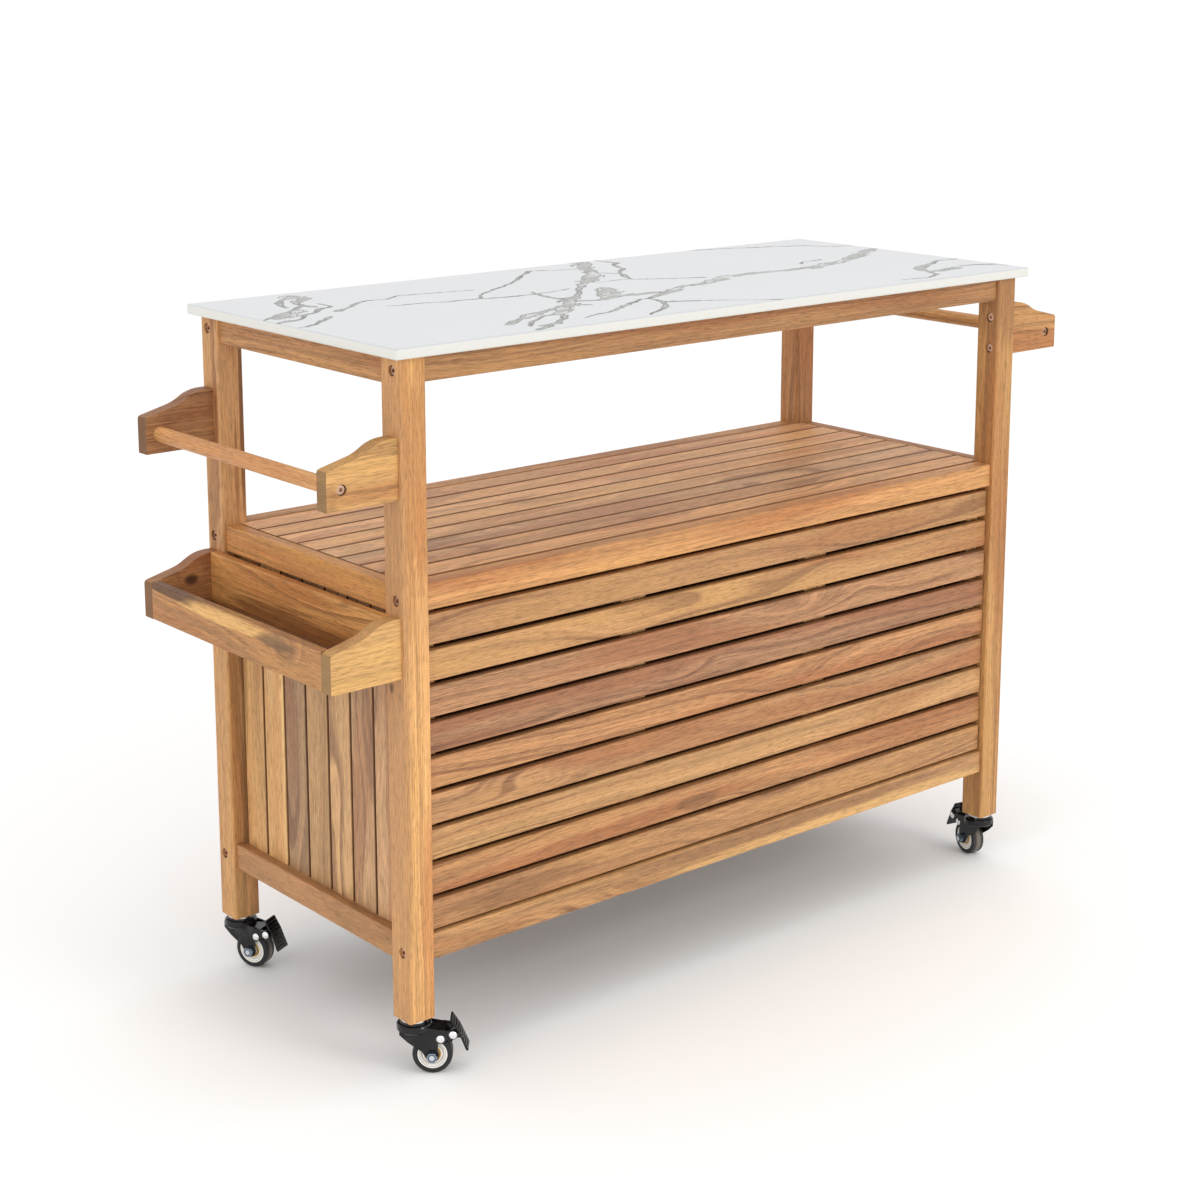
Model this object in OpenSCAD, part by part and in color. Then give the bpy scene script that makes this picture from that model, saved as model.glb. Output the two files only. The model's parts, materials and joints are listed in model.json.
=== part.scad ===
// Kitchen cart: a slatted hardwood frame with a stone-look worktop, an open deck, a three-door
// cabinet, two towel bars, a bolt-on tray and four braked swivel casters.
// Millimetres, +Z up. The origin is on the floor, under the middle of the cart.
// -X and +X are the ends, -Y is the slatted back and +Y is the front, where the doors are.

/* [Overall] */
// Height of the worktop's upper face above the floor
worktop_height = 914; // [860:1:960]
// Length of the frame over the posts
frame_length = 1100; // [1000:1:1300]
// Depth of the frame over the posts
frame_depth = 446; // [420:1:520]
// Height of the deck's upper face above the floor
deck_height = 623.5; // [590:0.5:650]
// Height of the bottom rails' underside above the floor
cabinet_clearance = 145; // [125:1:170]

/* [Worktop] */
// Thickness of the worktop slab
worktop_thickness = 13.5; // [10:0.5:20]
// How far the slab stands out past the posts
worktop_overhang = 13; // [6:0.5:25]
// Radius of the slab's corners, seen from above
worktop_corner = 4; // [1:0.5:10]

/* [Posts and rails] */
// Side of the square posts
post_side = 38; // [34:1:46]
// Radius of the long edges of the posts
post_edge = 3; // [1:0.5:5]
// How far the rails, brackets and tray sides stand back from the posts' outer faces
rail_inset = 5; // [3:0.5:8]
// Thickness of the rails
rail_thickness = 20; // [16:1:24]
// Thickness of the two long deck rails
deck_rail_thickness = 28; // [24:1:32]
// Height of the long rails
long_rail_height = 33; // [30:1:45]
// Height of the end rails
end_rail_height = 35; // [30:1:45]
// Radius of the long edges of rails and battens
rail_edge = 2; // [0.5:0.5:4]
// Thickness of the tenons on the end rails
tenon_thickness = 12; // [8:1:14]
// Length of those tenons
tenon_length = 14; // [8:1:15]
// Shoulder above and below each tenon
tenon_shoulder = 7; // [4:1:10]
// How much deeper a mortise is than its tenon is long
mortise_slack = 0.5; // [0.2:0.1:2]

/* [Slats] */
// Number of slats in the deck, the floor and the shelf
deck_slat_count = 8; // [6:1:10]
// Gap between deck slats
deck_slat_gap = 2.4; // [1:0.1:5]
// Gap between the deck field and what surrounds it
deck_edge_gap = 3.2; // [2:0.1:6]
// Gap between the ends of the deck slats and the end rails
deck_end_gap = 2; // [1:0.5:4]
// Clearance of the notches in the deck round the posts
notch_clearance = 0.8; // [0.5:0.1:2]
// Thickness of the deck slats
deck_slat_thickness = 14; // [12:1:18]
// Thickness of the floor and shelf slats
floor_slat_thickness = 12; // [10:1:16]
// Gap between the ends of the floor and shelf slats and the posts
floor_end_gap = 5; // [3:0.5:8]
// Gap between the floor or shelf and the back battens
floor_back_gap = 1; // [0.5:0.5:4]
// Gap between the floor or shelf and the backs of the doors
floor_door_gap = 2.4; // [1:0.1:6]
// Gap between the shelf and the partition
shelf_end_gap = 2.4; // [1:0.1:5]
// Radius of the long edges of the slats
slat_edge = 1.6; // [0.5:0.1:3]
// Number of horizontal slats in the back panel
back_slat_count = 9; // [6:1:11]
// Gap between back slats
back_slat_gap = 7.5; // [4:0.5:12]
// Gap above the highest back slat
back_top_gap = 7; // [3:0.5:10]
// Gap below the lowest back slat
back_bottom_gap = 3.5; // [2:0.5:10]
// Thickness of the back slats
back_slat_thickness = 16; // [12:1:18]
// Clearance between the back slats' ends and the posts
back_slat_end_gap = 2; // [1:0.5:4]
// Number of vertical slats in each end panel and in the partition
end_slat_count = 7; // [5:1:9]
// Gap between those vertical slats
end_slat_gap = 3; // [2:0.5:8]
// Margin between the outer vertical slats and the posts
end_slat_margin = 8; // [4:1:14]
// Thickness of the vertical slats
end_slat_thickness = 12; // [8:1:14]
// How far the end panels stand back from the posts' outer faces
end_panel_inset = 19; // [17:1:22]

/* [Battens and bearers] */
// Width of the two middle back battens
batten_width = 42; // [30:1:50]
// Width of the mullion between the doors
mullion_width = 40; // [30:1:50]
// Width of the two outer back battens
end_batten_width = 24; // [16:1:28]
// Thickness of the back battens
batten_thickness = 15; // [12:1:20]
// Distance of the middle battens, the partition and the middle bearers from the centre
bay_offset = 168; // [140:1:200]
// Width of the cross bearers
bearer_width = 30; // [24:1:36]
// Height of the cross bearers under the deck
deck_bearer_height = 19; // [14:1:24]
// Height of the cross bearers under the floor
floor_bearer_height = 18; // [14:1:24]
// Width of the bearers at the two ends of the deck
end_bearer_width = 25; // [20:1:30]
// Thickness of the cleats that hold the panels and the shelf
cleat_thickness = 18; // [12:1:22]
// Height of those cleats
cleat_height = 20; // [16:1:26]
// Height of the shelf's upper face above the floor
shelf_height = 384; // [340:1:430]

/* [Doors] */
// Thickness of the doors and the mullion
door_thickness = 20; // [18:1:22]
// How far the doors stand back from the posts' outer faces
door_inset = 9; // [8:0.5:11]
// Gap between a door's hinge edge and what carries it
hinge_gap = 4; // [3.6:0.1:6]
// Gap at a door's free edge
door_gap = 3; // [2:0.5:5]
// Gap above and below the doors
door_end_gap = 3; // [2:0.5:5]
// Width of the doors' stiles and rails
door_stile = 42; // [32:1:55]
// Number of boards in each door panel
door_board_count = 5; // [3:1:7]
// Thickness of the door boards
door_board_thickness = 10; // [6:1:12]
// How deep the boards sit in the grooves of the stiles and rails
door_groove = 6; // [4:1:10]
// Joint line on each side of a door board and at the ends of a door's rails
joint_gap = 0.1; // [0.05:0.05:0.3]
// Radius of the boards' long edges
door_board_edge = 1.5; // [0.5:0.1:2.5]
// Diameter of the door knobs
knob_diameter = 28; // [20:1:34]
// Projection of the door knobs
knob_projection = 24; // [18:1:30]
// Height of a knob above the bottom of its door
knob_height = 250; // [150:1:330]

/* [Hinges and catches] */
// Height of a hinge
hinge_height = 50; // [40:1:70]
// Distance from a door's top or bottom to its hinge
hinge_end = 60; // [30:1:90]
// Width of a hinge leaf
leaf_width = 18; // [12:1:19]
// Thickness of a hinge leaf
leaf_thickness = 1.4; // [1:0.1:1.5]
// Radius of a hinge knuckle
knuckle_radius = 3.6; // [3:0.1:3.7]
// Radius of a hinge pin
hinge_pin_radius = 1.6; // [1:0.1:2]
// Gap between the knuckles of one hinge
knuckle_gap = 0.3; // [0.2:0.1:0.6]
// Width of a magnetic catch and its strike plate
catch_width = 24; // [16:1:26]
// Height of the part of a catch below the deck rail, and of its strike plate
catch_nose = 11; // [8:0.5:14]
// Height and depth of the part of a catch that is screwed to the deck rail
catch_flange = 12; // [8:1:16]
// Distance of a catch from its door's free edge
catch_offset = 40; // [36:1:60]
// Thickness of a strike plate
strike_thickness = 1.2; // [0.8:0.1:1.6]
// Gap between a shut door's strike plate and its catch
catch_gap = 0.3; // [0.2:0.1:1]

/* [Towel bars and tray] */
// How far the brackets and the tray stand out from the posts
bracket_reach = 100; // [90:1:120]
// Thickness of the bracket boards and the tray sides
bracket_thickness = 20; // [18:1:22]
// Height of a bracket board at the post
bracket_height = 75; // [70:1:85]
// Height of a bracket board at its outer end, before the end is rounded
bracket_end_height = 49; // [44:1:54]
// Height of the left brackets' underside above the floor
left_bar_height = 731; // [700:1:760]
// Height of the right brackets' underside above the floor
right_bar_height = 785.5; // [760:0.5:785.5]
// Diameter of the towel bars
bar_diameter = 20; // [16:1:24]
// Distance of a towel bar's axis from the posts
bar_reach = 79; // [70:1:82]
// Height of a towel bar's axis above its brackets' underside
bar_rise = 24.5; // [20:0.5:28]
// Height of the tray's underside above the floor
tray_height = 513; // [480:0.5:513]
// Thickness of the tray's long boards
tray_board = 12; // [9:1:16]
// Height of the tray's outer board
tray_front_height = 50; // [40:1:56]
// Thickness of the tray's bottom
tray_bottom_thickness = 8; // [5:1:12]
// Height of the tray's bottom above the underside of its sides
tray_bottom_rise = 2; // [0:0.5:6]

/* [Fasteners] */
// Diameter of the bolt heads
bolt_head = 11; // [10:0.5:12]
// Height of the bolt heads
bolt_head_height = 5.5; // [4:0.5:6.5]
// Diameter of the bolt shanks
bolt_shank = 6; // [5:0.5:7]
// Hexagon socket in a bolt head, across its flats
bolt_socket = 5; // [4:0.5:6]
// Depth of that socket
bolt_socket_depth = 3.3; // [2:0.1:3.8]
// Diameter of the counterbores
counterbore = 13.5; // [13:0.5:15]
// Depth of the counterbores
counterbore_depth = 8; // [7:0.5:10]
// Clearance round a bolt's shank, on the radius
shank_clearance = 0.2; // [0.1:0.05:0.4]
// Distance of the lower bolt from the underside of a bracket or tray side
bracket_bolt_low = 11; // [9:0.5:16]
// Distance of the higher bolt from the top of a bracket or tray side, at the post
bracket_bolt_high = 18.5; // [14:0.5:24]
// Length of frame bolt inside the long rails
rail_grip = 42; // [35:1:60]
// Length of bolt inside the brackets and tray sides
bracket_grip = 36; // [25:1:45]
// Length of screw inside a towel bar
bar_grip = 28; // [15:1:40]
// Diameter of the barrel nuts
barrel_nut = 10; // [9:0.5:12]
// Length of the barrel nuts
barrel_nut_length = 14; // [10:1:14]
// Distance of a barrel nut from the end of its rail
barrel_nut_setback = 30; // [25:1:34]

/* [Casters] */
// Height from the floor to the posts' lower ends
caster_height = 72; // [70:1:80]
// Diameter of the wheels
wheel_diameter = 50; // [46:1:52]
// Width of the tyres
tyre_width = 20; // [17:1:21]
// Diameter of the hubs inside the tyres
hub_diameter = 37; // [32:1:39]
// Distance of the axle behind the swivel axis
caster_trail = 22.5; // [20:0.5:25]
// Radius of the bearing cup
cup_radius = 22; // [20:0.5:24]
// Space between the fork's arms
fork_space = 24; // [23:0.5:26]
// Thickness of the fork's arms
fork_plate = 2.2; // [1.8:0.1:3]
// Radius of the axle
axle_radius = 4; // [3:0.5:4.5]
// Radius of the rivets and of the pedal's pin
rivet_radius = 2.5; // [2:0.1:3]
// Height of the hexagon head and the nut on the axle
nut_height = 6; // [4:0.5:7]
// Gap between a hub and a fork arm
hub_side_gap = 1; // [0.5:0.1:1.5]
// Gap between the plate of a pedal and a fork arm
pedal_side_gap = 0.5; // [0.3:0.1:2]
// Thickness of the pedal's ears
ear_thickness = 2; // [1.5:0.1:3]
// Gap between an ear of the pedal and a fork arm
ear_gap = 1; // [0.5:0.1:2]
// Diameter of the stem's rod in the post
stem_rod = 10; // [8:1:12]
// Length of the rod in the post
stem_length = 36; // [25:1:45]
// Radius of the stem's spigot, which the fork turns on
spigot_radius = 8; // [7:0.5:9]
// Height of the bearing cup
cup_height = 13.7; // [12:0.1:15]
// Thickness of the stem's flange, under the post
stem_flange = 3; // [2:0.5:4]
// Gap above and below the bearing cup
swivel_gap = 0.3; // [0.2:0.1:0.6]
// Running clearance of every turning fit, on the radius
running_clearance = 0.05; // [0.02:0.01:0.1]
// Direction in which the back left caster trails, in degrees from +X
turn_back_left = -40; // [-180:1:180]
// Direction in which the front left caster trails
turn_front_left = -65; // [-180:1:180]
// Direction in which the back right caster trails
turn_back_right = 76; // [-180:1:180]
// Direction in which the front right caster trails
turn_front_right = 140; // [-180:1:180]

/* [Hidden] */

// Segments in each rounded long edge
edge_steps = 3;
// Amount by which a cutting solid passes a face that it opens
cut = 1;
$fn = 48;

// Planes of the frame
half_length = frame_length / 2;
half_depth = frame_depth / 2;
post_x = half_length - post_side / 2;
post_y = half_depth - post_side / 2;
opening_x = half_length - post_side;
opening_y = half_depth - post_side;
rail_out_y = half_depth - rail_inset;
rail_in_y = rail_out_y - rail_thickness;
deck_rail_in_y = rail_out_y - deck_rail_thickness;
rail_out_x = half_length - rail_inset;
rail_in_x = rail_out_x - rail_thickness;
// Every bolt through a post lies on the middle plane of the rails and brackets
bolt_y = rail_out_y - rail_thickness / 2;

// Levels
slab_under = worktop_height - worktop_thickness;
post_height = slab_under - caster_height;
bottom_rail_top = cabinet_clearance + long_rail_height;
deck_rail_under = deck_height - long_rail_height;
end_deck_rail_under = deck_height - end_rail_height;
bottom_end_rail_top = cabinet_clearance + end_rail_height;
floor_under = cabinet_clearance + floor_bearer_height;
floor_top = floor_under + floor_slat_thickness;
deck_slat_under = deck_height - deck_slat_thickness;
deck_bearer_under = deck_slat_under - deck_bearer_height;
shelf_under = shelf_height - floor_slat_thickness;

// Back panel, battens and vertical panels
back_slat_space = deck_rail_under - bottom_rail_top - back_top_gap - back_bottom_gap;
back_slat_height = (back_slat_space - (back_slat_count - 1) * back_slat_gap) / back_slat_count;
batten_in_y = rail_in_y - batten_thickness;
end_slat_space = 2 * opening_y - 2 * end_slat_margin;
end_slat_width = (end_slat_space - (end_slat_count - 1) * end_slat_gap) / end_slat_count;
end_panel_out_x = half_length - end_panel_inset;
end_panel_in_x = end_panel_out_x - end_slat_thickness;
// The battens stop under the deck rail or under the bearers, whichever is lower
batten_top = min(deck_rail_under, deck_bearer_under);
partition_left = bay_offset - end_slat_thickness / 2;

// Doors: the left two share the wide bay, the third has the bay right of the mullion
door_out_y = half_depth - door_inset;
door_in_y = door_out_y - door_thickness;
mullion_left = bay_offset - mullion_width / 2;
mullion_right = bay_offset + mullion_width / 2;
door_bottom = bottom_rail_top + door_end_gap;
door_height = deck_rail_under - door_end_gap - door_bottom;
pair_door_width = (opening_x + mullion_left - 2 * hinge_gap - door_gap) / 2;
single_door_width = opening_x - mullion_right - hinge_gap - door_gap;
pair_meet_x = (mullion_left - opening_x) / 2;
// For each door: the face that carries it, the side that it runs to, and its width
LEFT = [-opening_x, 1, pair_door_width];
CENTRE = [mullion_left, -1, pair_door_width];
RIGHT = [opening_x, -1, single_door_width];
DOORS = [LEFT, CENTRE, RIGHT];
// Fields of the floor and the shelf, and depth of what reaches from the battens to their front
field_back_y = -batten_in_y + floor_back_gap;
field_front_y = door_in_y - floor_door_gap;
floor_end_x = opening_x - floor_end_gap;
panel_depth = batten_in_y + field_front_y;

// Casters: for each its two sides and the way that it trails
BACK_LEFT = [-1, -1, turn_back_left];
FRONT_LEFT = [-1, 1, turn_front_left];
BACK_RIGHT = [1, -1, turn_back_right];
FRONT_RIGHT = [1, 1, turn_front_right];
CASTERS = [BACK_LEFT, FRONT_LEFT, BACK_RIGHT, FRONT_RIGHT];
wheel_radius = wheel_diameter / 2;
arm_in = fork_space / 2;
arm_out = arm_in + fork_plate;
// Vertical stack at the swivel, downwards from the post
cup_top = caster_height - stem_flange - swivel_gap;
cup_under = cup_top - cup_height;
// The retainer is pressed on the end of the spigot and turns free in a recess of the cup
retainer_height = 3;
retainer_radius = spigot_radius + 2.6;
recess_radius = retainer_radius + 0.8;
// Thickness of the rivets' feet, inside the arms
rivet_foot = 0.8;
// Pins in the fork's arms, as [distance behind the swivel axis, height]
axle_at = [caster_trail, wheel_radius];
rivet_at = [caster_trail + 10.5, wheel_radius + 22.5];
pedal_at = [caster_trail + 26, wheel_radius + 28];

wood_post = [0.80, 0.57, 0.33];
wood_rail = [0.78, 0.54, 0.30];
wood_slat = [0.72, 0.49, 0.28];
wood_deck = [0.66, 0.47, 0.31];
wood_inner = [0.70, 0.50, 0.30];
stone = [0.90, 0.91, 0.92];
steel = [0.74, 0.74, 0.76];
black_steel = [0.10, 0.10, 0.11];
tyre_black = [0.16, 0.16, 0.17];
hub_white = [0.92, 0.90, 0.86];

// Outline of a w by h rectangle whose four corners are rounded with radius r
function eased_rect(w, h, r) = [
    for (c = [[w - r, h - r, 0], [r, h - r, 90], [r, r, 180], [w - r, r, 270]])
        for (i = [0 : edge_steps])
            let (a = c[2] + 90 * i / edge_steps)
                [c[0] + r * cos(a), c[1] + r * sin(a)]];

// Bars with rounded long edges along one axis: p is the lowest corner and s the size
module bar_x(p, s, r) {
    translate(p) rotate([90, 0, 90]) linear_extrude(s[0]) polygon(eased_rect(s[1], s[2], r));
}
module bar_y(p, s, r) {
    translate(p + [0, s[1], 0]) rotate([90, 0, 0])
        linear_extrude(s[1]) polygon(eased_rect(s[0], s[2], r));
}
module bar_z(p, s, r) {
    translate(p) linear_extrude(s[2]) polygon(eased_rect(s[0], s[1], r));
}
module both_sides_y() {
    children();
    mirror([0, 1, 0]) children();
}
module both_ends_x() {
    children();
    mirror([1, 0, 0]) children();
}

// Bolts
// Each is drawn with its entry face at z = 0, running up into the wood
module bolt(length) {
    head_base = counterbore_depth - bolt_head_height;
    difference() {
        union() {
            translate([0, 0, head_base]) cylinder(h = bolt_head_height, d = bolt_head);
            translate([0, 0, counterbore_depth - cut])
                cylinder(h = length - counterbore_depth + cut, d = bolt_shank);
        }
        translate([0, 0, head_base - cut])
            cylinder(h = bolt_socket_depth + cut, d = bolt_socket / cos(30), $fn = 6);
    }
}
module bolt_hole(length) {
    translate([0, 0, -cut]) cylinder(h = counterbore_depth + cut, d = counterbore);
    cylinder(h = length + cut, d = bolt_shank + 2 * shank_clearance);
}
// From the outer faces of the posts into the ends of the long rails
frame_bolt_levels = [
    cabinet_clearance + long_rail_height / 2,
    deck_rail_under + long_rail_height / 2,
    slab_under - long_rail_height / 2];
frame_bolt_length = post_side + rail_grip;
module at_frame_bolts(sx, sy) {
    for (z = frame_bolt_levels)
        translate([sx * half_length, sy * bolt_y, z]) rotate([0, -sx * 90, 0]) children();
}
// From the inner faces of the posts out into the brackets and the tray sides
bracket_bolt_rises = [bracket_bolt_low, bracket_height - bracket_bolt_high];
bracket_bolt_length = post_side + bracket_grip;
left_bracket_levels = [left_bar_height, tray_height];
right_bracket_levels = [right_bar_height];
module at_bracket_bolts(sx, sy) {
    for (base = sx < 0 ? left_bracket_levels : right_bracket_levels, rise = bracket_bolt_rises)
        translate([sx * opening_x, sy * bolt_y, base + rise]) rotate([0, sx * 90, 0]) children();
}
// From the outer faces of the brackets into the ends of the towel bars
bar_screw_length = bracket_thickness + bar_grip;
bar_half = bolt_y - bracket_thickness / 2;
function bar_level(sx) = (sx < 0 ? left_bar_height : right_bar_height) + bar_rise;
module at_bar_screws(sx, sy) {
    translate([sx * (half_length + bar_reach), sy * (bar_half + bracket_thickness), bar_level(sx)])
        rotate([sy * 90, 0, 0]) children();
}
// Barrel nuts lie across the long rails, where the frame bolts end
barrel_x = opening_x - barrel_nut_setback;
module at_barrel_nuts(sy) {
    for (sx = [-1, 1], z = frame_bolt_levels) translate([sx * barrel_x, sy * bolt_y, z]) children();
}

// Posts
module post(sx, sy) {
    color(wood_post) difference() {
        translate([sx * post_x, sy * post_y, 0])
            bar_z([-post_side / 2, -post_side / 2, caster_height], [post_side, post_side, post_height],
                post_edge);
        at_frame_bolts(sx, sy) bolt_hole(frame_bolt_length);
        at_bracket_bolts(sx, sy) bolt_hole(bracket_bolt_length);
        end_rail_tenons(sx, sy, tenon_length + mortise_slack);
        translate([sx * post_x, sy * post_y, caster_height - cut])
            cylinder(h = stem_length + 2 * cut, r = stem_rod / 2 + running_clearance);
    }
}
module post_back_left() { post(-1, -1); }
module post_back_right() { post(1, -1); }
module post_front_left() { post(-1, 1); }
module post_front_right() { post(1, 1); }

// Rails
// The long rails butt against the posts and are drawn up by the frame bolts
module long_rail_pair(level, thickness) {
    color(wood_rail) difference() {
        both_sides_y()
            bar_x([-opening_x, -rail_out_y, level], [2 * opening_x, thickness, long_rail_height],
                rail_edge);
        for (sx = [-1, 1], sy = [-1, 1]) at_frame_bolts(sx, sy) bolt_hole(frame_bolt_length);
        for (sy = [-1, 1]) at_barrel_nuts(sy) rotate([sy * 90, 0, 0])
            translate([0, 0, -barrel_nut_length / 2])
                cylinder(h = thickness + cut, d = barrel_nut + 2 * shank_clearance);
    }
}
module top_long_rails() { long_rail_pair(slab_under - long_rail_height, rail_thickness); }
module deck_long_rails() { long_rail_pair(deck_rail_under, deck_rail_thickness); }
module bottom_long_rails() { long_rail_pair(cabinet_clearance, rail_thickness); }
// The end rails are tenoned into the posts
end_rail_levels = [cabinet_clearance, end_deck_rail_under, slab_under - end_rail_height];
tenon_height = end_rail_height - 2 * tenon_shoulder;
tenon_in_x = rail_in_x + (rail_thickness - tenon_thickness) / 2;
module end_rail_tenons(sx, sy, length) {
    for (z = end_rail_levels)
        translate([
            sx * (tenon_in_x + tenon_thickness / 2), sy * (opening_y + length / 2), z + end_rail_height / 2])
            cube([tenon_thickness, length, tenon_height], center = true);
}
module end_rail_pair(level) {
    color(wood_rail) both_ends_x() {
        bar_y([rail_in_x, -opening_y, level], [rail_thickness, 2 * opening_y, end_rail_height], rail_edge);
        translate([tenon_in_x, -opening_y - tenon_length, level + tenon_shoulder])
            cube([tenon_thickness, 2 * (opening_y + tenon_length), tenon_height]);
    }
}
module top_end_rails() { end_rail_pair(end_rail_levels[2]); }
module deck_end_rails() { end_rail_pair(end_rail_levels[1]); }
module bottom_end_rails() { end_rail_pair(end_rail_levels[0]); }

// Worktop
worktop_length = frame_length + 2 * worktop_overhang;
worktop_depth = frame_depth + 2 * worktop_overhang;
module worktop() {
    color(stone) bar_z([-worktop_length / 2, -worktop_depth / 2, slab_under],
        [worktop_length, worktop_depth, worktop_thickness], worktop_corner);
}

// Bearers, deck, floor and shelf
module bearer(x0, width, half_span, under, height) {
    bar_y([x0, -half_span, under], [width, 2 * half_span, height], slat_edge);
}
module cross_bearers() {
    mid_x = bay_offset - bearer_width / 2;
    color(wood_inner) {
        both_ends_x() {
            // Under the deck, between the posts
            bearer(rail_in_x - end_bearer_width, end_bearer_width, opening_y, deck_bearer_under,
                deck_bearer_height);
            // Under the floor
            bearer(opening_x - bearer_width, bearer_width, rail_in_y, cabinet_clearance, floor_bearer_height);
            bearer(mid_x, bearer_width, rail_in_y, cabinet_clearance, floor_bearer_height);
            // Under the worktop
            bearer(mid_x, bearer_width, rail_in_y, slab_under - bearer_width, bearer_width);
        }
        // Under the deck, above the partition and above the line where the pair of doors meets
        for (x = [bay_offset, pair_meet_x])
            bearer(x - bearer_width / 2, bearer_width, deck_rail_in_y, deck_bearer_under, deck_bearer_height);
        // Under the shelf, from its batten to the slats' front edge
        bar_y([-bay_offset - bearer_width / 2, -batten_in_y, shelf_under - cleat_height],
            [bearer_width, panel_depth, cleat_height], slat_edge);
    }
}
// Slats along X that fill the field from y0 to y1
module slat_field(x0, x1, y0, y1, under, thickness) {
    width = (y1 - y0 - (deck_slat_count - 1) * deck_slat_gap) / deck_slat_count;
    for (i = [0 : deck_slat_count - 1])
        bar_x([x0, y0 + i * (width + deck_slat_gap), under], [x1 - x0, width, thickness], slat_edge);
}
module deck_slats() {
    notch = post_side + 2 * notch_clearance;
    field_y = deck_rail_in_y - deck_edge_gap;
    end_x = rail_in_x - deck_end_gap;
    color(wood_deck) difference() {
        slat_field(-end_x, end_x, -field_y, field_y, deck_slat_under, deck_slat_thickness);
        for (sx = [-1, 1], sy = [-1, 1])
            translate([sx * post_x, sy * post_y, deck_height])
                cube([notch, notch, 4 * deck_slat_thickness], center = true);
    }
}
module floor_slats() {
    color(wood_deck)
        slat_field(-floor_end_x, floor_end_x, field_back_y, field_front_y, floor_under, floor_slat_thickness);
}
module shelf_slats() {
    color(wood_deck) slat_field(-floor_end_x, partition_left - shelf_end_gap, field_back_y, field_front_y,
        shelf_under, floor_slat_thickness);
}

// Back panel
module back_slats() {
    slat_x = opening_x - back_slat_end_gap;
    slat_y = rail_in_y + back_slat_thickness;
    top = deck_rail_under - back_top_gap;
    color(wood_slat) for (i = [0 : back_slat_count - 1])
        bar_x([-slat_x, -slat_y, top - back_slat_height - i * (back_slat_height + back_slat_gap)],
            [2 * slat_x, back_slat_thickness, back_slat_height], slat_edge);
}
// The battens stand on the floor bearers, behind the slats and the bottom rail
module back_batten(x0, width) {
    bar_z([x0, -rail_in_y, floor_under], [width, batten_thickness, batten_top - floor_under], slat_edge);
}
module back_battens() {
    color(wood_inner) both_ends_x() {
        back_batten(opening_x - end_batten_width, end_batten_width);
        back_batten(bay_offset - batten_width / 2, batten_width);
    }
}

// End panels and partition
module vertical_slats(x0, y0, z0, z1) {
    for (i = [0 : end_slat_count - 1])
        bar_z([x0, y0 + i * (end_slat_width + end_slat_gap), z0],
            [end_slat_thickness, end_slat_width, z1 - z0], slat_edge);
}
module end_slats(x0) {
    color(wood_slat)
        vertical_slats(x0, -opening_y + end_slat_margin, bottom_end_rail_top, end_deck_rail_under);
}
module left_end_slats() { end_slats(-end_panel_out_x); }
module right_end_slats() { end_slats(end_panel_in_x); }
module partition_slats() {
    y0 = (door_in_y - batten_in_y - end_slat_space) / 2;
    color(wood_slat) vertical_slats(partition_left, y0, floor_top, deck_bearer_under);
}
module panel_cleats() {
    // The cleats on the end panels start at the batten or at the post, whichever is nearer
    end_y = max(-opening_y, -batten_in_y);
    cleat_x = end_panel_in_x - cleat_thickness;
    color(wood_inner) {
        both_ends_x() for (z = [bottom_end_rail_top, end_deck_rail_under - cleat_height])
            bar_y([cleat_x, end_y, z], [cleat_thickness, opening_y - end_y, cleat_height], slat_edge);
        for (z = [floor_top, deck_bearer_under - cleat_height])
            bar_y([partition_left + end_slat_thickness, -batten_in_y, z],
                [cleat_thickness, panel_depth, cleat_height], slat_edge);
        // Under the two ends of the shelf
        bar_y([-end_panel_in_x, end_y, shelf_under - cleat_height],
            [cleat_thickness, opening_y - end_y, cleat_height], slat_edge);
        bar_y([partition_left - cleat_thickness, -batten_in_y, shelf_under - cleat_height],
            [cleat_thickness, panel_depth, cleat_height], slat_edge);
    }
}

// Doors
module door_mullion() {
    color(wood_rail) bar_z([mullion_left, door_in_y, bottom_rail_top],
        [mullion_right - mullion_left, door_thickness, deck_rail_under - bottom_rail_top], slat_edge);
}
// A door is drawn with the face that carries it at x = 0, running to +X
module place_door(door) {
    translate([door[0], 0, 0]) mirror([door[1] > 0 ? 0 : 1, 0, 0]) children();
}
board_y = door_in_y + (door_thickness - door_board_thickness) / 2;
panel_bottom = door_bottom + door_stile - door_groove;
panel_height = door_height - 2 * (door_stile - door_groove);
function panel_width(door) = door[2] - 2 * (door_stile - door_groove);
// Two stiles, and two rails with stub tenons in the stiles' grooves
module door_frame(door) {
    rail_length = door[2] - 2 * door_stile - 2 * joint_gap;
    tenon = door_groove - joint_gap;
    color(wood_rail) place_door(door) {
        difference() {
            for (x = [hinge_gap, hinge_gap + door[2] - door_stile])
                bar_z([x, door_in_y, door_bottom], [door_stile, door_thickness, door_height], slat_edge);
            panel_space(door, door_bottom - cut, door_height + 2 * cut);
        }
        for (z = [door_bottom, door_bottom + door_height - door_stile])
            translate([hinge_gap + door_stile + joint_gap, 0, 0]) difference() {
                union() {
                    bar_x([0, door_in_y, z], [rail_length, door_thickness, door_stile], slat_edge);
                    translate([-tenon, board_y + joint_gap, z])
                        cube([rail_length + 2 * tenon, door_board_thickness - 2 * joint_gap, door_stile]);
                }
                translate([-door_stile, board_y, panel_bottom])
                    cube([door[2], door_board_thickness, panel_height]);
            }
    }
}
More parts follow.
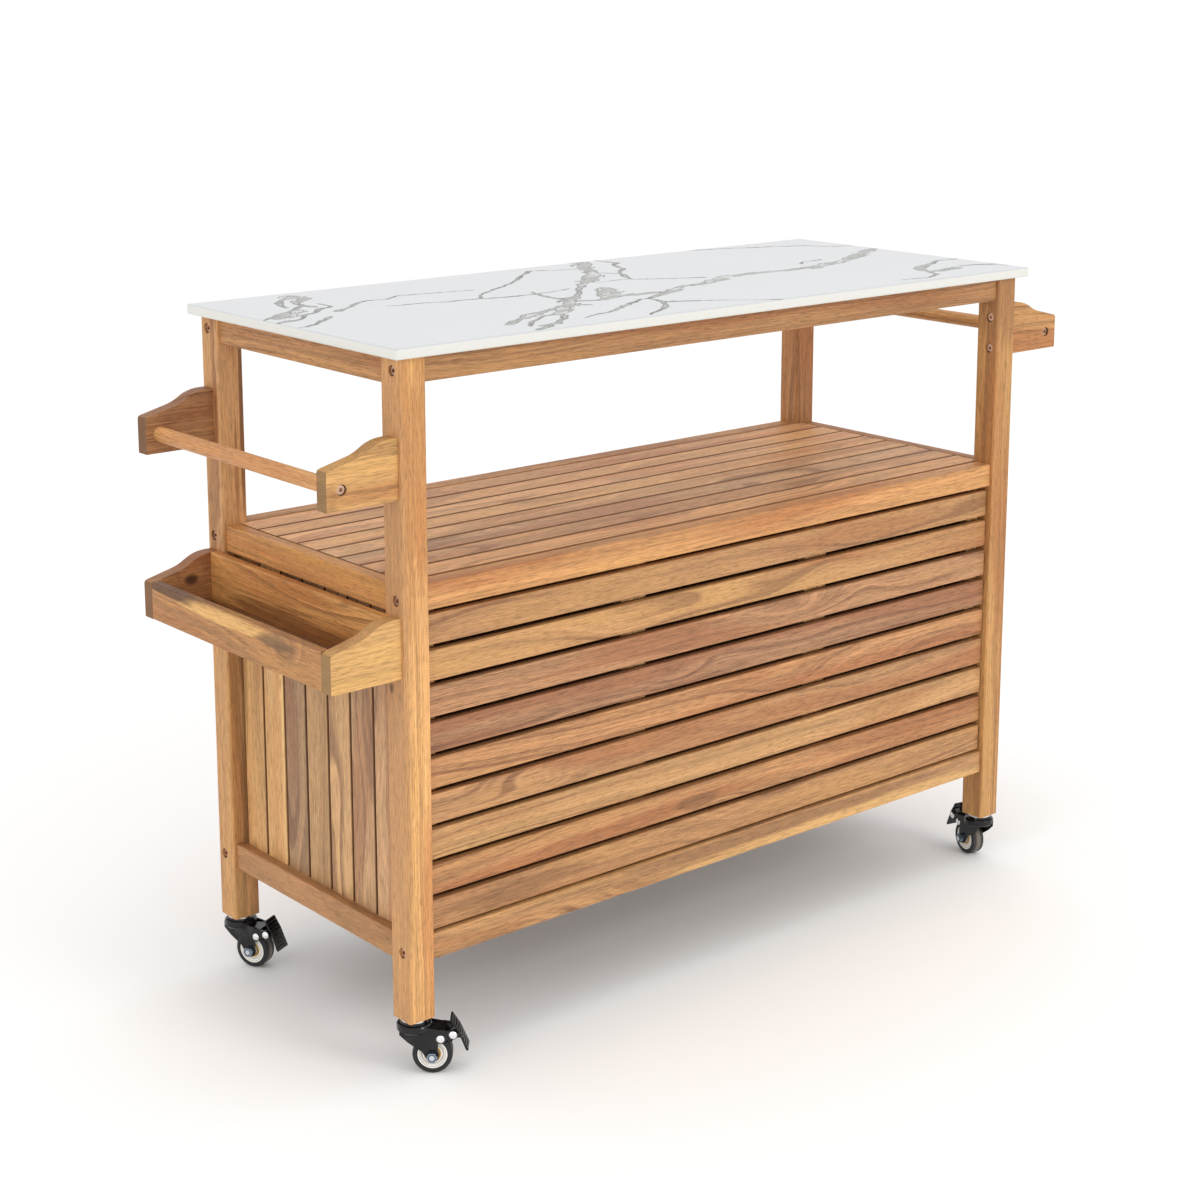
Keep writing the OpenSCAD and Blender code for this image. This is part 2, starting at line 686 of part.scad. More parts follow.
// The space between the bottoms of the stiles' grooves
module panel_space(door, bottom, height) {
    translate([hinge_gap + door_stile - door_groove, board_y, bottom])
        cube([panel_width(door), door_board_thickness, height]);
}
module door_boards(door) {
    pitch = panel_width(door) / door_board_count;
    color(wood_slat) place_door(door) for (i = [0 : door_board_count - 1])
        bar_z([hinge_gap + door_stile - door_groove + i * pitch + joint_gap, board_y, panel_bottom],
            [pitch - 2 * joint_gap, door_board_thickness, panel_height], door_board_edge);
}
// Knob, the hinge leaves with their knuckles, and the strike plate of the catch
module door_fittings(door) {
    free_edge = hinge_gap + door[2];
    color(steel) place_door(door) {
        translate([free_edge - door_stile / 2, door_out_y, door_bottom + knob_height])
            rotate([-90, 0, 0]) knob();
        for (z = hinge_levels) translate([0, door_out_y, z]) door_leaf();
        translate([free_edge - catch_offset - catch_width / 2, door_in_y - strike_thickness,
            door_bottom + door_height - catch_nose])
            cube([catch_width, strike_thickness, catch_nose]);
    }
}
// A foot, a waisted neck and a flattened ball
module knob() {
    r = knob_diameter / 2;
    ball = knob_projection * 0.28;
    rotate_extrude() polygon(concat(
        [[0, 0], [r * 0.55, 0], [r * 0.5, 1.5], [r * 0.38, 4]],
        [for (a = [-60 : 15 : 90]) [r * cos(a), knob_projection - ball + ball * sin(a)]]));
}

// Hinges
// The leaf on the post has the two outer knuckles and the pin, the leaf on the door the middle one
hinge_levels = [door_bottom + hinge_end, door_bottom + door_height - hinge_end - hinge_height];
knuckle_x = knuckle_radius + 0.2;
knuckle_y = knuckle_radius + 0.4;
third = hinge_height / 3;
module knuckle(z0, z1) {
    translate([knuckle_x, knuckle_y, z0]) cylinder(h = z1 - z0, r = knuckle_radius);
}
module pin_bore() {
    translate([knuckle_x, knuckle_y, -cut])
        cylinder(h = hinge_height + 2 * cut, r = hinge_pin_radius + running_clearance);
}
module fixed_leaf() {
    difference() {
        union() {
            translate([0, -leaf_width, 0]) cube([leaf_thickness, leaf_width, hinge_height]);
            for (z = [0, hinge_height - third + knuckle_gap]) {
                knuckle(z, z + third - knuckle_gap);
                translate([0, -cut, z]) cube([leaf_thickness, knuckle_y + cut, third - knuckle_gap]);
            }
        }
        pin_bore();
    }
    // The pin is headed at both ends, so that it stays in the outer knuckles
    translate([knuckle_x, knuckle_y, 0]) cylinder(h = hinge_height, r = hinge_pin_radius);
    for (z = [-leaf_thickness, hinge_height])
        translate([knuckle_x, knuckle_y, z]) cylinder(h = leaf_thickness, r = hinge_pin_radius + 1);
}
module door_leaf() {
    leaf_x = hinge_gap - leaf_thickness;
    difference() {
        union() {
            translate([leaf_x, -leaf_width, 0]) cube([leaf_thickness, leaf_width, hinge_height]);
            knuckle(third, hinge_height - third);
            translate([leaf_x, -cut, third])
                cube([leaf_thickness, knuckle_y + cut, hinge_height - 2 * third]);
        }
        pin_bore();
    }
}
// Catches hang from the inner face of the front deck rail, behind the tops of the doors
module catch_body() {
    back_y = deck_rail_in_y - catch_flange;
    front_y = door_in_y - strike_thickness - catch_gap;
    translate([-catch_width / 2, back_y, deck_rail_under - catch_nose])
        cube([catch_width, front_y - back_y, catch_nose - catch_gap]);
    translate([-catch_width / 2, back_y, deck_rail_under - cut])
        cube([catch_width, catch_flange, catch_flange + cut]);
}
module door_hardware() {
    color(steel) for (door = DOORS) place_door(door) {
        for (z = hinge_levels) translate([0, door_out_y, z]) fixed_leaf();
        translate([hinge_gap + door[2] - catch_offset, 0, 0]) catch_body();
    }
}
module left_door_frame() { door_frame(LEFT); }
module left_door_boards() { door_boards(LEFT); }
module left_door_fittings() { door_fittings(LEFT); }
module centre_door_frame() { door_frame(CENTRE); }
module centre_door_boards() { door_boards(CENTRE); }
module centre_door_fittings() { door_fittings(CENTRE); }
module right_door_frame() { door_frame(RIGHT); }
module right_door_boards() { door_boards(RIGHT); }
module right_door_fittings() { door_fittings(RIGHT); }

// Brackets, towel bars and tray
// The upper edge of a bracket is an ogee: a flat by the post, a convex arc, a concave arc and a
// straight run to the end, each tangent to the next. Points are [distance from the post, height].
ogee_flat = 10;
ogee_radius = 58;
ogee_angle = 33;
ogee_tail_angle = 13.5;
ogee_steps = 6;
ogee_corner = 4;
function convex(a) = [ogee_flat + ogee_radius * sin(a), bracket_height - ogee_radius * (1 - cos(a))];
function concave(a) = 2 * convex(ogee_angle) - convex(a);
bracket_outline = concat(
    [[0, 0], [0, bracket_height]],
    [for (i = [0 : ogee_steps]) convex(ogee_angle * i / ogee_steps)],
    [for (i = [1 : ogee_steps]) concave(ogee_angle + (ogee_tail_angle - ogee_angle) * i / ogee_steps)],
    [[bracket_reach - ogee_corner, bracket_end_height],
        [bracket_reach - ogee_corner * 0.3, bracket_end_height - ogee_corner * 0.3],
        [bracket_reach, bracket_end_height - ogee_corner], [bracket_reach, 0]]);
module bracket_board(sx, sy, base) {
    translate([sx * half_length, sy * bolt_y, base]) mirror([sx < 0 ? 1 : 0, 0, 0])
        translate([0, bracket_thickness / 2, 0]) rotate([90, 0, 0])
            linear_extrude(bracket_thickness) polygon(bracket_outline);
}
module towel_bar_brackets() {
    color(wood_rail) difference() {
        for (sx = [-1, 1], sy = [-1, 1])
            bracket_board(sx, sy, sx < 0 ? left_bar_height : right_bar_height);
        for (sx = [-1, 1], sy = [-1, 1]) {
            at_bracket_bolts(sx, sy) bolt_hole(bracket_bolt_length);
            at_bar_screws(sx, sy) bolt_hole(bar_screw_length);
        }
    }
}
module towel_bars() {
    color(wood_post) difference() {
        for (sx = [-1, 1])
            translate([sx * (half_length + bar_reach), bar_half, bar_level(sx)])
                rotate([90, 0, 0]) cylinder(h = 2 * bar_half, d = bar_diameter);
        for (sx = [-1, 1], sy = [-1, 1]) at_bar_screws(sx, sy) bolt_hole(bar_screw_length);
    }
}
module tray_sides() {
    color(wood_rail) difference() {
        for (sy = [-1, 1]) bracket_board(-1, sy, tray_height);
        for (sy = [-1, 1]) at_bracket_bolts(-1, sy) bolt_hole(bracket_bolt_length);
    }
}
tray_end_x = half_length + bracket_reach;
module tray_long_boards() {
    color(wood_slat) {
        bar_y([-tray_end_x, -bar_half, tray_height],
            [tray_board, 2 * bar_half, tray_front_height], slat_edge);
        bar_y([-half_length - tray_board, -bar_half, tray_height],
            [tray_board, 2 * bar_half, bracket_height], slat_edge);
    }
}
module tray_bottom() {
    color(wood_inner) translate([-tray_end_x + tray_board, -bar_half, tray_height + tray_bottom_rise])
        cube([bracket_reach - 2 * tray_board, 2 * bar_half, tray_bottom_thickness]);
}

// Fasteners
module frame_bolts() {
    color(steel) {
        for (sx = [-1, 1], sy = [-1, 1]) at_frame_bolts(sx, sy) bolt(frame_bolt_length);
        for (sy = [-1, 1]) at_barrel_nuts(sy) difference() {
            rotate([90, 0, 0]) cylinder(h = barrel_nut_length, d = barrel_nut, center = true);
            rotate([0, 90, 0])
                cylinder(h = 2 * barrel_nut, d = bolt_shank + 2 * shank_clearance, center = true);
        }
    }
}
module bracket_bolts() {
    color(steel) for (sx = [-1, 1], sy = [-1, 1]) {
        at_bracket_bolts(sx, sy) bolt(bracket_bolt_length);
        at_bar_screws(sx, sy) bolt(bar_screw_length);
    }
}

// Casters
// Drawn with the swivel axis on Z and trailing to +X, then turned and put under its post
module place_caster(caster) {
    translate([caster[0] * post_x, caster[1] * post_y, 0]) rotate([0, 0, caster[2]]) children();
}
// Turns the drawing plane upright, so that a place on a pin is [distance behind the swivel, height]
module upright() {
    rotate([90, 0, 0]) children();
}
module on_pin(at) {
    translate([at[0], 0, at[1]]) upright() children();
}
module caster_stems() {
    color(steel) for (caster = CASTERS) place_caster(caster) {
        translate([0, 0, caster_height - cut]) cylinder(h = stem_length + cut, d = stem_rod);
        translate([0, 0, cup_top + swivel_gap]) cylinder(h = stem_flange, r = cup_radius - 5);
        translate([0, 0, cup_under + swivel_gap]) cylinder(h = cup_height + cut, r = spigot_radius);
        translate([0, 0, cup_under]) cylinder(h = retainer_height, r = retainer_radius);
    }
}
// Outline of a fork arm, as distance behind the swivel axis and height
arm_outline = [
    [-cup_radius * 0.8, cup_under + 7], [-cup_radius * 0.8, cup_under - 2], [-8, cup_under - 11.5],
    axle_at + [-13, 6], axle_at + [-6, -5], axle_at + [7, 3], rivet_at + [-3, -5],
    pedal_at + [-1, -5], pedal_at + [1, 5], [rivet_at[0] + 2, cup_under + 4],
    [cup_radius * 0.8, cup_under + 7]];
module fork(caster) {
    ceiling = retainer_height + swivel_gap;
    bore = spigot_radius + running_clearance;
    color(black_steel) place_caster(caster) difference() {
        union() {
            // Bearing cup
            translate([0, 0, cup_under]) rotate_extrude() polygon([
                [bore, ceiling], [bore, cup_height], [cup_radius - 5, cup_height],
                [cup_radius - 4, cup_height - 2.5], [cup_radius - 1.5, cup_height - 3.5],
                [cup_radius, cup_height - 5.5], [cup_radius, 2.5], [cup_radius - 1.5, 0.5],
                [recess_radius, 0.5], [recess_radius, ceiling]]);
            for (side = [-arm_out, arm_in]) upright() translate([0, 0, side]) linear_extrude(fork_plate) {
                polygon(arm_outline);
                translate(axle_at) circle(r = axle_radius + 4.5);
                translate(rivet_at) circle(r = rivet_radius + 3.8);
                translate(pedal_at) circle(r = rivet_radius + 3.5);
            }
            // Bridge between the arms, behind the cup
            translate([recess_radius + 0.6, -arm_out, cup_under + 2])
                cube([rivet_at[0] + 6 - recess_radius - 0.6, 2 * arm_out, fork_plate]);
        }
        on_pin(axle_at) cylinder(h = 4 * arm_out, r = axle_radius + running_clearance, center = true);
        for (at = [rivet_at, pedal_at])
            on_pin(at) cylinder(h = 4 * arm_out, r = rivet_radius + running_clearance, center = true);
        // Room for the stem's retainer, between the arms
        translate([0, 0, cup_under - cut]) cylinder(h = ceiling + cut, r = recess_radius);
    }
}
// A domed rivet head whose flat face is at z = 0
module rivet_head() {
    rotate_extrude() polygon([
        [0, 0], [rivet_radius * 2, 0], [rivet_radius * 2, 0.7], [rivet_radius * 1.5, 1.8],
        [rivet_radius * 0.8, 2.3], [0, 2.4]]);
}
module hexagon(height) {
    cylinder(h = height, r = axle_radius * 1.75, $fn = 6);
}
module axle_set(caster) {
    tip = arm_out + nut_height + 1;
    color(steel) place_caster(caster) {
        // Axle bolt, headed at one end and with a nut at the other
        on_pin(axle_at) {
            translate([0, 0, -tip]) cylinder(h = arm_out + tip + 1, r = axle_radius);
            translate([0, 0, arm_out]) hexagon(nut_height);
            translate([0, 0, -arm_out - nut_height]) difference() {
                hexagon(nut_height);
                cylinder(h = 3 * nut_height, r = axle_radius + running_clearance, center = true);
            }
        }
        // A short rivet through each arm
        on_pin(rivet_at) for (side = [0, 1]) mirror([0, 0, side]) {
            translate([0, 0, arm_out]) rivet_head();
            translate([0, 0, arm_in - rivet_foot])
                cylinder(h = fork_plate + rivet_foot + 1, r = rivet_radius);
            translate([0, 0, arm_in - rivet_foot]) cylinder(h = rivet_foot, r = rivet_radius * 1.5);
        }
        // The pin that the pedal rocks on
        on_pin(pedal_at) {
            cylinder(h = 2 * arm_out + 1, r = rivet_radius, center = true);
            for (side = [0, 1]) mirror([0, 0, side]) translate([0, 0, arm_out]) rivet_head();
        }
    }
}
module tyre(caster) {
    w = tyre_width / 2;
    r = wheel_radius;
    h = hub_diameter / 2;
    shoulder = 3;
    tread = [for (a = [0 : 15 : 90]) [r - shoulder * (1 - cos(a)), w - shoulder * (1 - sin(a))]];
    half = concat(tread, [[h + 1, w], [h, w - 0.8]]);
    color(tyre_black) place_caster(caster) on_pin(axle_at) rotate_extrude()
        polygon(mirrored_profile(half));
}
module hub(caster) {
    w = tyre_width / 2 - 0.8;
    h = hub_diameter / 2;
    boss = axle_radius + 3.5;
    face = arm_in - hub_side_gap;
    half = [[h, w], [h - 3, w], [h - 5.5, w - 2.2], [boss + 0.6, w - 1.4], [boss, face],
        [axle_radius + running_clearance, face]];
    color(hub_white) place_caster(caster) on_pin(axle_at) rotate_extrude()
        polygon(mirrored_profile(half));
}
// Closes a profile with its own mirror image below z = 0
function mirrored_profile(half) = concat(
    half, [for (i = [len(half) - 1 : -1 : 0]) [half[i][0], -half[i][1]]]);

// The pedal rocks on its pin: its plate leans out over the wheel, and its tongue brakes the tyre
pedal_top = pedal_at + [-3.5, 18.5];
pedal_tip = pedal_at + [17.5, -21];
module pedal(caster) {
    plate_half = arm_in - pedal_side_gap;
    ear_out = arm_in - ear_gap;
    color(black_steel) place_caster(caster) difference() {
        union() {
            // Ears on the pin
            for (side = [-ear_out, ear_out - ear_thickness])
                upright() translate([0, 0, side]) linear_extrude(ear_thickness) {
                    translate(pedal_at) circle(r = rivet_radius + 3);
                    polygon([
                        pedal_at + [-2, 5], pedal_at + [3.6, 9], pedal_at + [10, -5], pedal_at + [1, -5]]);
                }
            // Plate
            upright() translate([0, 0, -plate_half]) linear_extrude(2 * plate_half) polygon([
                pedal_top, pedal_top + [2.2, 0.6], pedal_at + [8.2, 4], pedal_tip + [1.4, 0.6],
                pedal_tip + [0.4, -1.2], pedal_tip + [-1.6, -0.6], pedal_at + [6, 3]]);
            // Tongue between the ears, just clear of the tyre
            upright() translate([0, 0, -ear_out + 0.5]) linear_extrude(2 * ear_out - 1) polygon([
                pedal_at + [2.5, -4.8], pedal_at + [-1, -9.5], pedal_at + [-4.2, -11.6],
                pedal_at + [-5.2, -9.8], pedal_at + [-2.4, -5.2]]);
        }
        on_pin(pedal_at) cylinder(h = 4 * arm_out, r = rivet_radius + running_clearance, center = true);
    }
}
module back_left_fork() { fork(BACK_LEFT); }
module back_left_axle() { axle_set(BACK_LEFT); }
module back_left_tyre() { tyre(BACK_LEFT); }
module back_left_hub() { hub(BACK_LEFT); }
module back_left_pedal() { pedal(BACK_LEFT); }
module front_left_fork() { fork(FRONT_LEFT); }
module front_left_axle() { axle_set(FRONT_LEFT); }
module front_left_tyre() { tyre(FRONT_LEFT); }
module front_left_hub() { hub(FRONT_LEFT); }
module front_left_pedal() { pedal(FRONT_LEFT); }
module back_right_fork() { fork(BACK_RIGHT); }
module back_right_axle() { axle_set(BACK_RIGHT); }
module back_right_tyre() { tyre(BACK_RIGHT); }
module back_right_hub() { hub(BACK_RIGHT); }
module back_right_pedal() { pedal(BACK_RIGHT); }
module front_right_fork() { fork(FRONT_RIGHT); }
module front_right_axle() { axle_set(FRONT_RIGHT); }
module front_right_tyre() { tyre(FRONT_RIGHT); }
module front_right_hub() { hub(FRONT_RIGHT); }
module front_right_pedal() { pedal(FRONT_RIGHT); }

post_back_left();
post_back_right();
post_front_left();
post_front_right();
top_long_rails();
deck_long_rails();
bottom_long_rails();
top_end_rails();
deck_end_rails();
bottom_end_rails();
worktop();
cross_bearers();
deck_slats();
back_slats();
back_battens();
left_end_slats();
right_end_slats();
panel_cleats();
partition_slats();
door_mullion();
floor_slats();
shelf_slats();
left_door_frame();
left_door_boards();
left_door_fittings();
centre_door_frame();
centre_door_boards();
centre_door_fittings();
right_door_frame();
right_door_boards();
right_door_fittings();
door_hardware();
towel_bar_brackets();
towel_bars();
tray_sides();
tray_long_boards();
tray_bottom();
frame_bolts();
bracket_bolts();
caster_stems();
back_left_fork();
back_left_axle();
back_left_tyre();
back_left_hub();
back_left_pedal();
front_left_fork();
front_left_axle();
front_left_tyre();
front_left_hub();
front_left_pedal();
back_right_fork();
back_right_axle();
back_right_tyre();
back_right_hub();
back_right_pedal();
front_right_fork();
front_right_axle();
front_right_tyre();
front_right_hub();
front_right_pedal();
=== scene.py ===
"""A kitchen cart of oiled acacia, with a stone-look worktop, an open deck, a cabinet and four casters."""

import json
import math

import bpy
import numpy as np
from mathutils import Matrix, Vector


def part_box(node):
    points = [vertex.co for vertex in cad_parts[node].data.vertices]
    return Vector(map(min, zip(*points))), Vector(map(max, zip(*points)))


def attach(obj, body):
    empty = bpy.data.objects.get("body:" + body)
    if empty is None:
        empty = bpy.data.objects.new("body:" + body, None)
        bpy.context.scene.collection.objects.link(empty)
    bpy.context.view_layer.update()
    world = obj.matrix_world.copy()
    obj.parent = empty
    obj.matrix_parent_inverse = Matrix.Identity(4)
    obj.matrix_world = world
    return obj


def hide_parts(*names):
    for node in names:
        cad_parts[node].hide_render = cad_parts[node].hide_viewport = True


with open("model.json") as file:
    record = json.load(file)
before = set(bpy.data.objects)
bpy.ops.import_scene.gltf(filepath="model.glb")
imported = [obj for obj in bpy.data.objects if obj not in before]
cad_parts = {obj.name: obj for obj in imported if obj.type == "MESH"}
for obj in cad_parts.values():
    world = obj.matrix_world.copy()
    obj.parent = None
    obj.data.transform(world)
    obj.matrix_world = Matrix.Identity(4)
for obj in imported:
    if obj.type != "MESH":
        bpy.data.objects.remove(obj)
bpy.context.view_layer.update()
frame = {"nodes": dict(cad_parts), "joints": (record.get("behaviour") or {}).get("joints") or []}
nodes = frame["nodes"]

# Posts
# Four square acacia legs from the casters to the slab, planed, rounded over along the edges and oiled.
# The heartwood runs from golden to orange-brown, with fine dark pores and now and then a darker flame.


class Wire:
    """One output in a material's node tree. Arithmetic on wires adds the Math nodes that work it out."""

    def __init__(self, tree, socket):
        self.tree = tree
        self.socket = socket

    def add(self, kind, settings, inputs, output=0):
        """Adds a node of any kind: first its settings, then a value or a wire for each of the inputs."""
        node = self.tree.nodes.new(kind)
        for name, value in settings.items():
            if name == "stops":
                while len(node.color_ramp.elements) < len(value):
                    node.color_ramp.elements.new(1.0)
                for stop, (place, colour) in zip(node.color_ramp.elements, value):
                    stop.position = place
                    stop.color = colour
            elif name == "between_stops":
                node.color_ramp.interpolation = value
            else:
                setattr(node, name, value)
        for name, value in inputs.items():
            if isinstance(value, Wire):
                self.tree.links.new(value.socket, node.inputs[name])
            else:
                node.inputs[name].default_value = value
        return Wire(self.tree, node.outputs[output] if node.outputs else None)

    def maths(self, operation, *numbers):
        return self.add("ShaderNodeMath", {"operation": operation}, dict(enumerate(numbers)))

    def __add__(self, other):
        return self.maths("ADD", self, other)

    def __radd__(self, other):
        return self.maths("ADD", other, self)

    def __sub__(self, other):
        return self.maths("SUBTRACT", self, other)

    def __rsub__(self, other):
        return self.maths("SUBTRACT", other, self)

    def __mul__(self, other):
        return self.maths("MULTIPLY", self, other)

    def __rmul__(self, other):
        return self.maths("MULTIPLY", other, self)

    def __truediv__(self, other):
        return self.maths("DIVIDE", self, other)

    def __gt__(self, other):
        return self.maths("GREATER_THAN", self, other)

    def floor(self):
        return self.maths("FLOOR", self)

    def fraction(self):
        return self.maths("FRACT", self)

    def size(self):
        """The number without its sign."""
        return self.maths("ABSOLUTE", self)

    def vector(self, operation, other, output=0):
        """Vector Math between this vector or colour and another."""
        return self.add("ShaderNodeVectorMath", {"operation": operation}, {0: self, 1: other}, output)

    def times(self, amount):
        """This vector or colour times one number."""
        return self.add("ShaderNodeVectorMath", {"operation": "SCALE"}, {0: self, "Scale": amount})

    def length(self):
        return self.add("ShaderNodeVectorMath", {"operation": "LENGTH"}, {0: self}, "Value")

    def parts(self):
        """The three numbers of this vector."""
        return [self.add("ShaderNodeSeparateXYZ", {}, {0: self}, part) for part in range(3)]

    def joined(self, second, third):
        """The vector whose first number is this one."""
        return self.add("ShaderNodeCombineXYZ", {}, {0: self, 1: second, 2: third})

    def rise(self, low, high):
        """0 at low, 1 at high, and a smooth slope between the two; low may be the larger one."""
        return self.add("ShaderNodeMapRange", {"interpolation_type": "SMOOTHSTEP"}, {
            "Value": self, 1: low, 2: high})

    def between(self, low, high):
        """The mix of two colours by this number: low where it is 0 and high where it is 1."""
        return self.add("ShaderNodeMix", {"data_type": "RGBA"}, {0: self, 6: low, 7: high}, 2)

    def mixed(self, other, share):
        """This colour mixed with another, by the other's share."""
        return share.between(self, other)

    def clouds(self, per_metre, detail=1.0):
        """Noise of this place, with so many lumps per metre, or three numbers for its three directions."""
        return self.add("ShaderNodeTexNoise", {}, {
            "Vector": self.vector("MULTIPLY", np.broadcast_to(per_metre, 3).tolist()),
            "Scale": 1.0, "Detail": detail})

    def stripes(self, per_metre, detail=1.0):
        """Noise along one number alone, with so many stripes per metre."""
        return self.add("ShaderNodeTexNoise", {"noise_dimensions": "1D"}, {
            "W": self, "Scale": per_metre, "Detail": detail})

    def facing(self):
        """The way that the surface faces, in the object's own axes."""
        return self.add("ShaderNodeTexCoord", {}, {}, "Normal")

    def bump(self, depth, strength=1.0):
        """A Normal raised by this height, where 1 stands for depth in metres."""
        return self.add("ShaderNodeBump", {}, {"Height": self, "Distance": depth, "Strength": strength})

    def surface(self, inputs):
        """The shader of a surface of this colour, with its other inputs."""
        return self.add("ShaderNodeBsdfPrincipled", {}, {"Base Color": self, **inputs})


def material(name, look, *details):
    """A new material. look works its shader out from the wire of the object's own coordinates, in metres,
    and from the details."""
    made = bpy.data.materials.new(name)
    made.use_nodes = True
    made.node_tree.nodes.clear()
    here = Wire(made.node_tree, None).add("ShaderNodeTexCoord", {}, {}, "Object")
    shader = look(here, *details)
    shader.add("ShaderNodeOutputMaterial", {}, {"Surface": shader})
    return made


def dress(node, finish):
    """Gives a CAD node its material."""
    slots = nodes[node].data.materials
    slots.clear()
    slots.append(finish)


def paint(red, green, blue):
    """A colour in a paint chart's steps of 0 to 255, as linear light."""
    steps = np.array([red, green, blue]) / 255
    return (*np.where(steps <= 0.04045, steps / 12.92, ((steps + 0.055) / 1.055) ** 2.4).tolist(), 1.0)


def lumber(node, along, tones, number=None, upright=None, streaks=0.35, swirl=0.6, knots=(), marks=(),
           edges=("x", 0.0), seam_shade=0.0, shaded_facing=None, inside_shade=0.9, lap=None, seed=0.0):
    """Dresses a CAD node in oiled acacia whose grain runs along one axis.

    The figure is the log's growth rings: noise of the distance from a pith line that wanders slowly along
    the board. swirl is how far it wanders, and streaks how dark the darkest rings are.
    number(x, y, z) numbers the boards of a node: it is between i and i + 1 on board i, which is cut from
    its own place in the log and has tone i. upright(x, y, z) is 1 on the members whose grain stands up.
    knots are (place, radius, times as long, darkness), and the rings swell round them. marks are (place,
    reach, shade, share): streaky patches of sapwood or staining, and a few of painted shade and painted
    light.
    seam_shade is the share of a board's width that is dark along its two long edges: painted shade for the
    gaps between boards. edges gives the axis that the boards' narrow sides face, and how much painted shade
    darkens those sides, for the little light that reaches between the boards. shaded_facing is the way that
    the faces look which close the cabinet in, and which are darkened with painted shade, by a share of
    inside_shade; lap is how far along that way the painted shade begins on the boards' edges.
    """
    stops = [(i / len(tones), paint(*tone)) for i, tone in enumerate(tones)]

    def look(here):
        def laid(vector):
            """The vector in the board's own order: along the grain, across it, through it."""
            x, y, z = vector.parts()
            order = {"x": (x, y, z), "y": (y, x, z), "z": (z, x, y)}[along]
            flat = order[0].joined(*order[1:])
            if upright is None:
                return flat
            return flat.add("ShaderNodeMix", {"data_type": "VECTOR"}, {
                0: standing, 4: flat, 5: z.joined(x, y)}, 1)

        def shaded(colour, shade, share):
            """The colour mixed with the board's tone times a shade, by a share."""
            return colour.mixed(tone.vector("MULTIPLY", shade), share)

        x, y, z = here.parts()
        standing = upright(x, y, z) if upright else None
        count = number(x, y, z) if number else x * 0
        board = count.floor()
        tone = board.add("ShaderNodeValToRGB", {"stops": stops, "between_stops": "CONSTANT"}, {
            "Fac": ((board + 0.5) / len(tones)).fraction()})
        chance = board.add("ShaderNodeTexWhiteNoise", {"noise_dimensions": "1D"}, {
            "W": board + seed}, "Color")
        # Each board is moved to its own place in the log, up to 6 m along it and 95 mm across it
        place_in_log = chance.vector("MULTIPLY", (6.0, 0.10, 0.08)).vector("ADD", (0.0, -0.05, 0.015))
        grain = laid(here).vector("ADD", place_in_log)

        # Rings round the pith, pushed apart by knots
        wander = (grain.clouds((1.6, 9.0, 9.0), 2.0) - 0.5) * (0.12 * swirl)
        rings = grain.vector("MULTIPLY", (0.0, 1.0, 1.0)).length() + wander
        knot = 0.0
        for centre, radius, times_as_long, darkness in knots:
            squeeze = [1 / times_as_long if axis == along else 1.0 for axis in "xyz"]
            away = here.vector("SUBTRACT", centre).vector("MULTIPLY", squeeze).length() / radius
            eye = away.rise(3.0, 0.0)
            rings = rings + eye * 0.03
            knot = eye.rise(0.55, 0.95) * darkness + knot

        # Broad, fine and dark lines of the rings, then slow changes, fibres and pores along the grain
        bands = rings.stripes(75.0, 2.0).rise(0.32, 0.68)
        lines = rings.stripes(360.0, 2.0).rise(0.30, 0.70)
        dark_stretches = grain.clouds((3.0, 22.0, 22.0), 2.0).rise(0.42, 0.60)
        dark_lines = rings.stripes(130.0).rise(0.52, 0.66) * dark_stretches
        heart = grain.clouds((1.9, 22.0, 22.0), 2.0)
        fibres = grain.clouds((13.0, 620.0, 620.0), 3.0).rise(0.30, 0.70)
        pores = grain.clouds((62.0, 1050.0, 1050.0)).rise(0.52, 0.66)

        # Darker and paler heartwood, dark rings and marks, with the fibres and pores over them all
        wood = tone.times(0.77 + bands * 0.26 + lines * 0.22)
        wood = shaded(wood, (0.84, 0.69, 0.64), heart.rise(0.51, 0.64) * 0.85)
        wood = shaded(wood, (1.10, 1.13, 1.03), heart.rise(0.48, 0.36) * 0.85)
        wood = shaded(wood, (0.52, 0.45, 0.47), dark_lines * streaks)
        ragged = (grain.clouds((7.0, 130.0, 130.0), 3.0) - 0.5) * 1.9
        for centre, reach, shade, share in marks:
            away = here.vector("SUBTRACT", centre).vector("DIVIDE", reach).length() + ragged
            wood = shaded(wood, shade, away.rise(1.25, 0.55) * share)
        wood = wood.times((0.85 + fibres * 0.26) * (1 - pores * 0.28))
        if knots:
            wood = wood.mixed(paint(52, 32, 22), knot)

        # Painted shade along the seams between boards and on the boards' narrow sides, end grain, and
        # painted shade on the faces that close the cabinet in
        # Painted shade along each board's two long edges, for the shade in the gaps between the boards
        if seam_shade:
            outward = (count.fraction() - 0.5).size()
            wood = shaded(wood, (0.26, 0.20, 0.16), outward.rise(0.5 - 1.2 * seam_shade, 0.5 - 0.8 * seam_shade))
        facing = here.facing()
        narrow_axis, edge_shade = edges
        # Painted shade on the boards' narrow sides, which get little light between the boards
        if edge_shade:
            narrow = facing.parts()["xyz".index(narrow_axis)].size()
            wood = shaded(wood, (0.34, 0.27, 0.22), narrow.rise(0.12, 0.6) * edge_shade)
        end_grain = laid(facing).parts()[0].size().rise(0.75, 0.95)
        wood = shaded(wood, (0.36, 0.38, 0.42), end_grain * (0.8 + pores * 0.2))
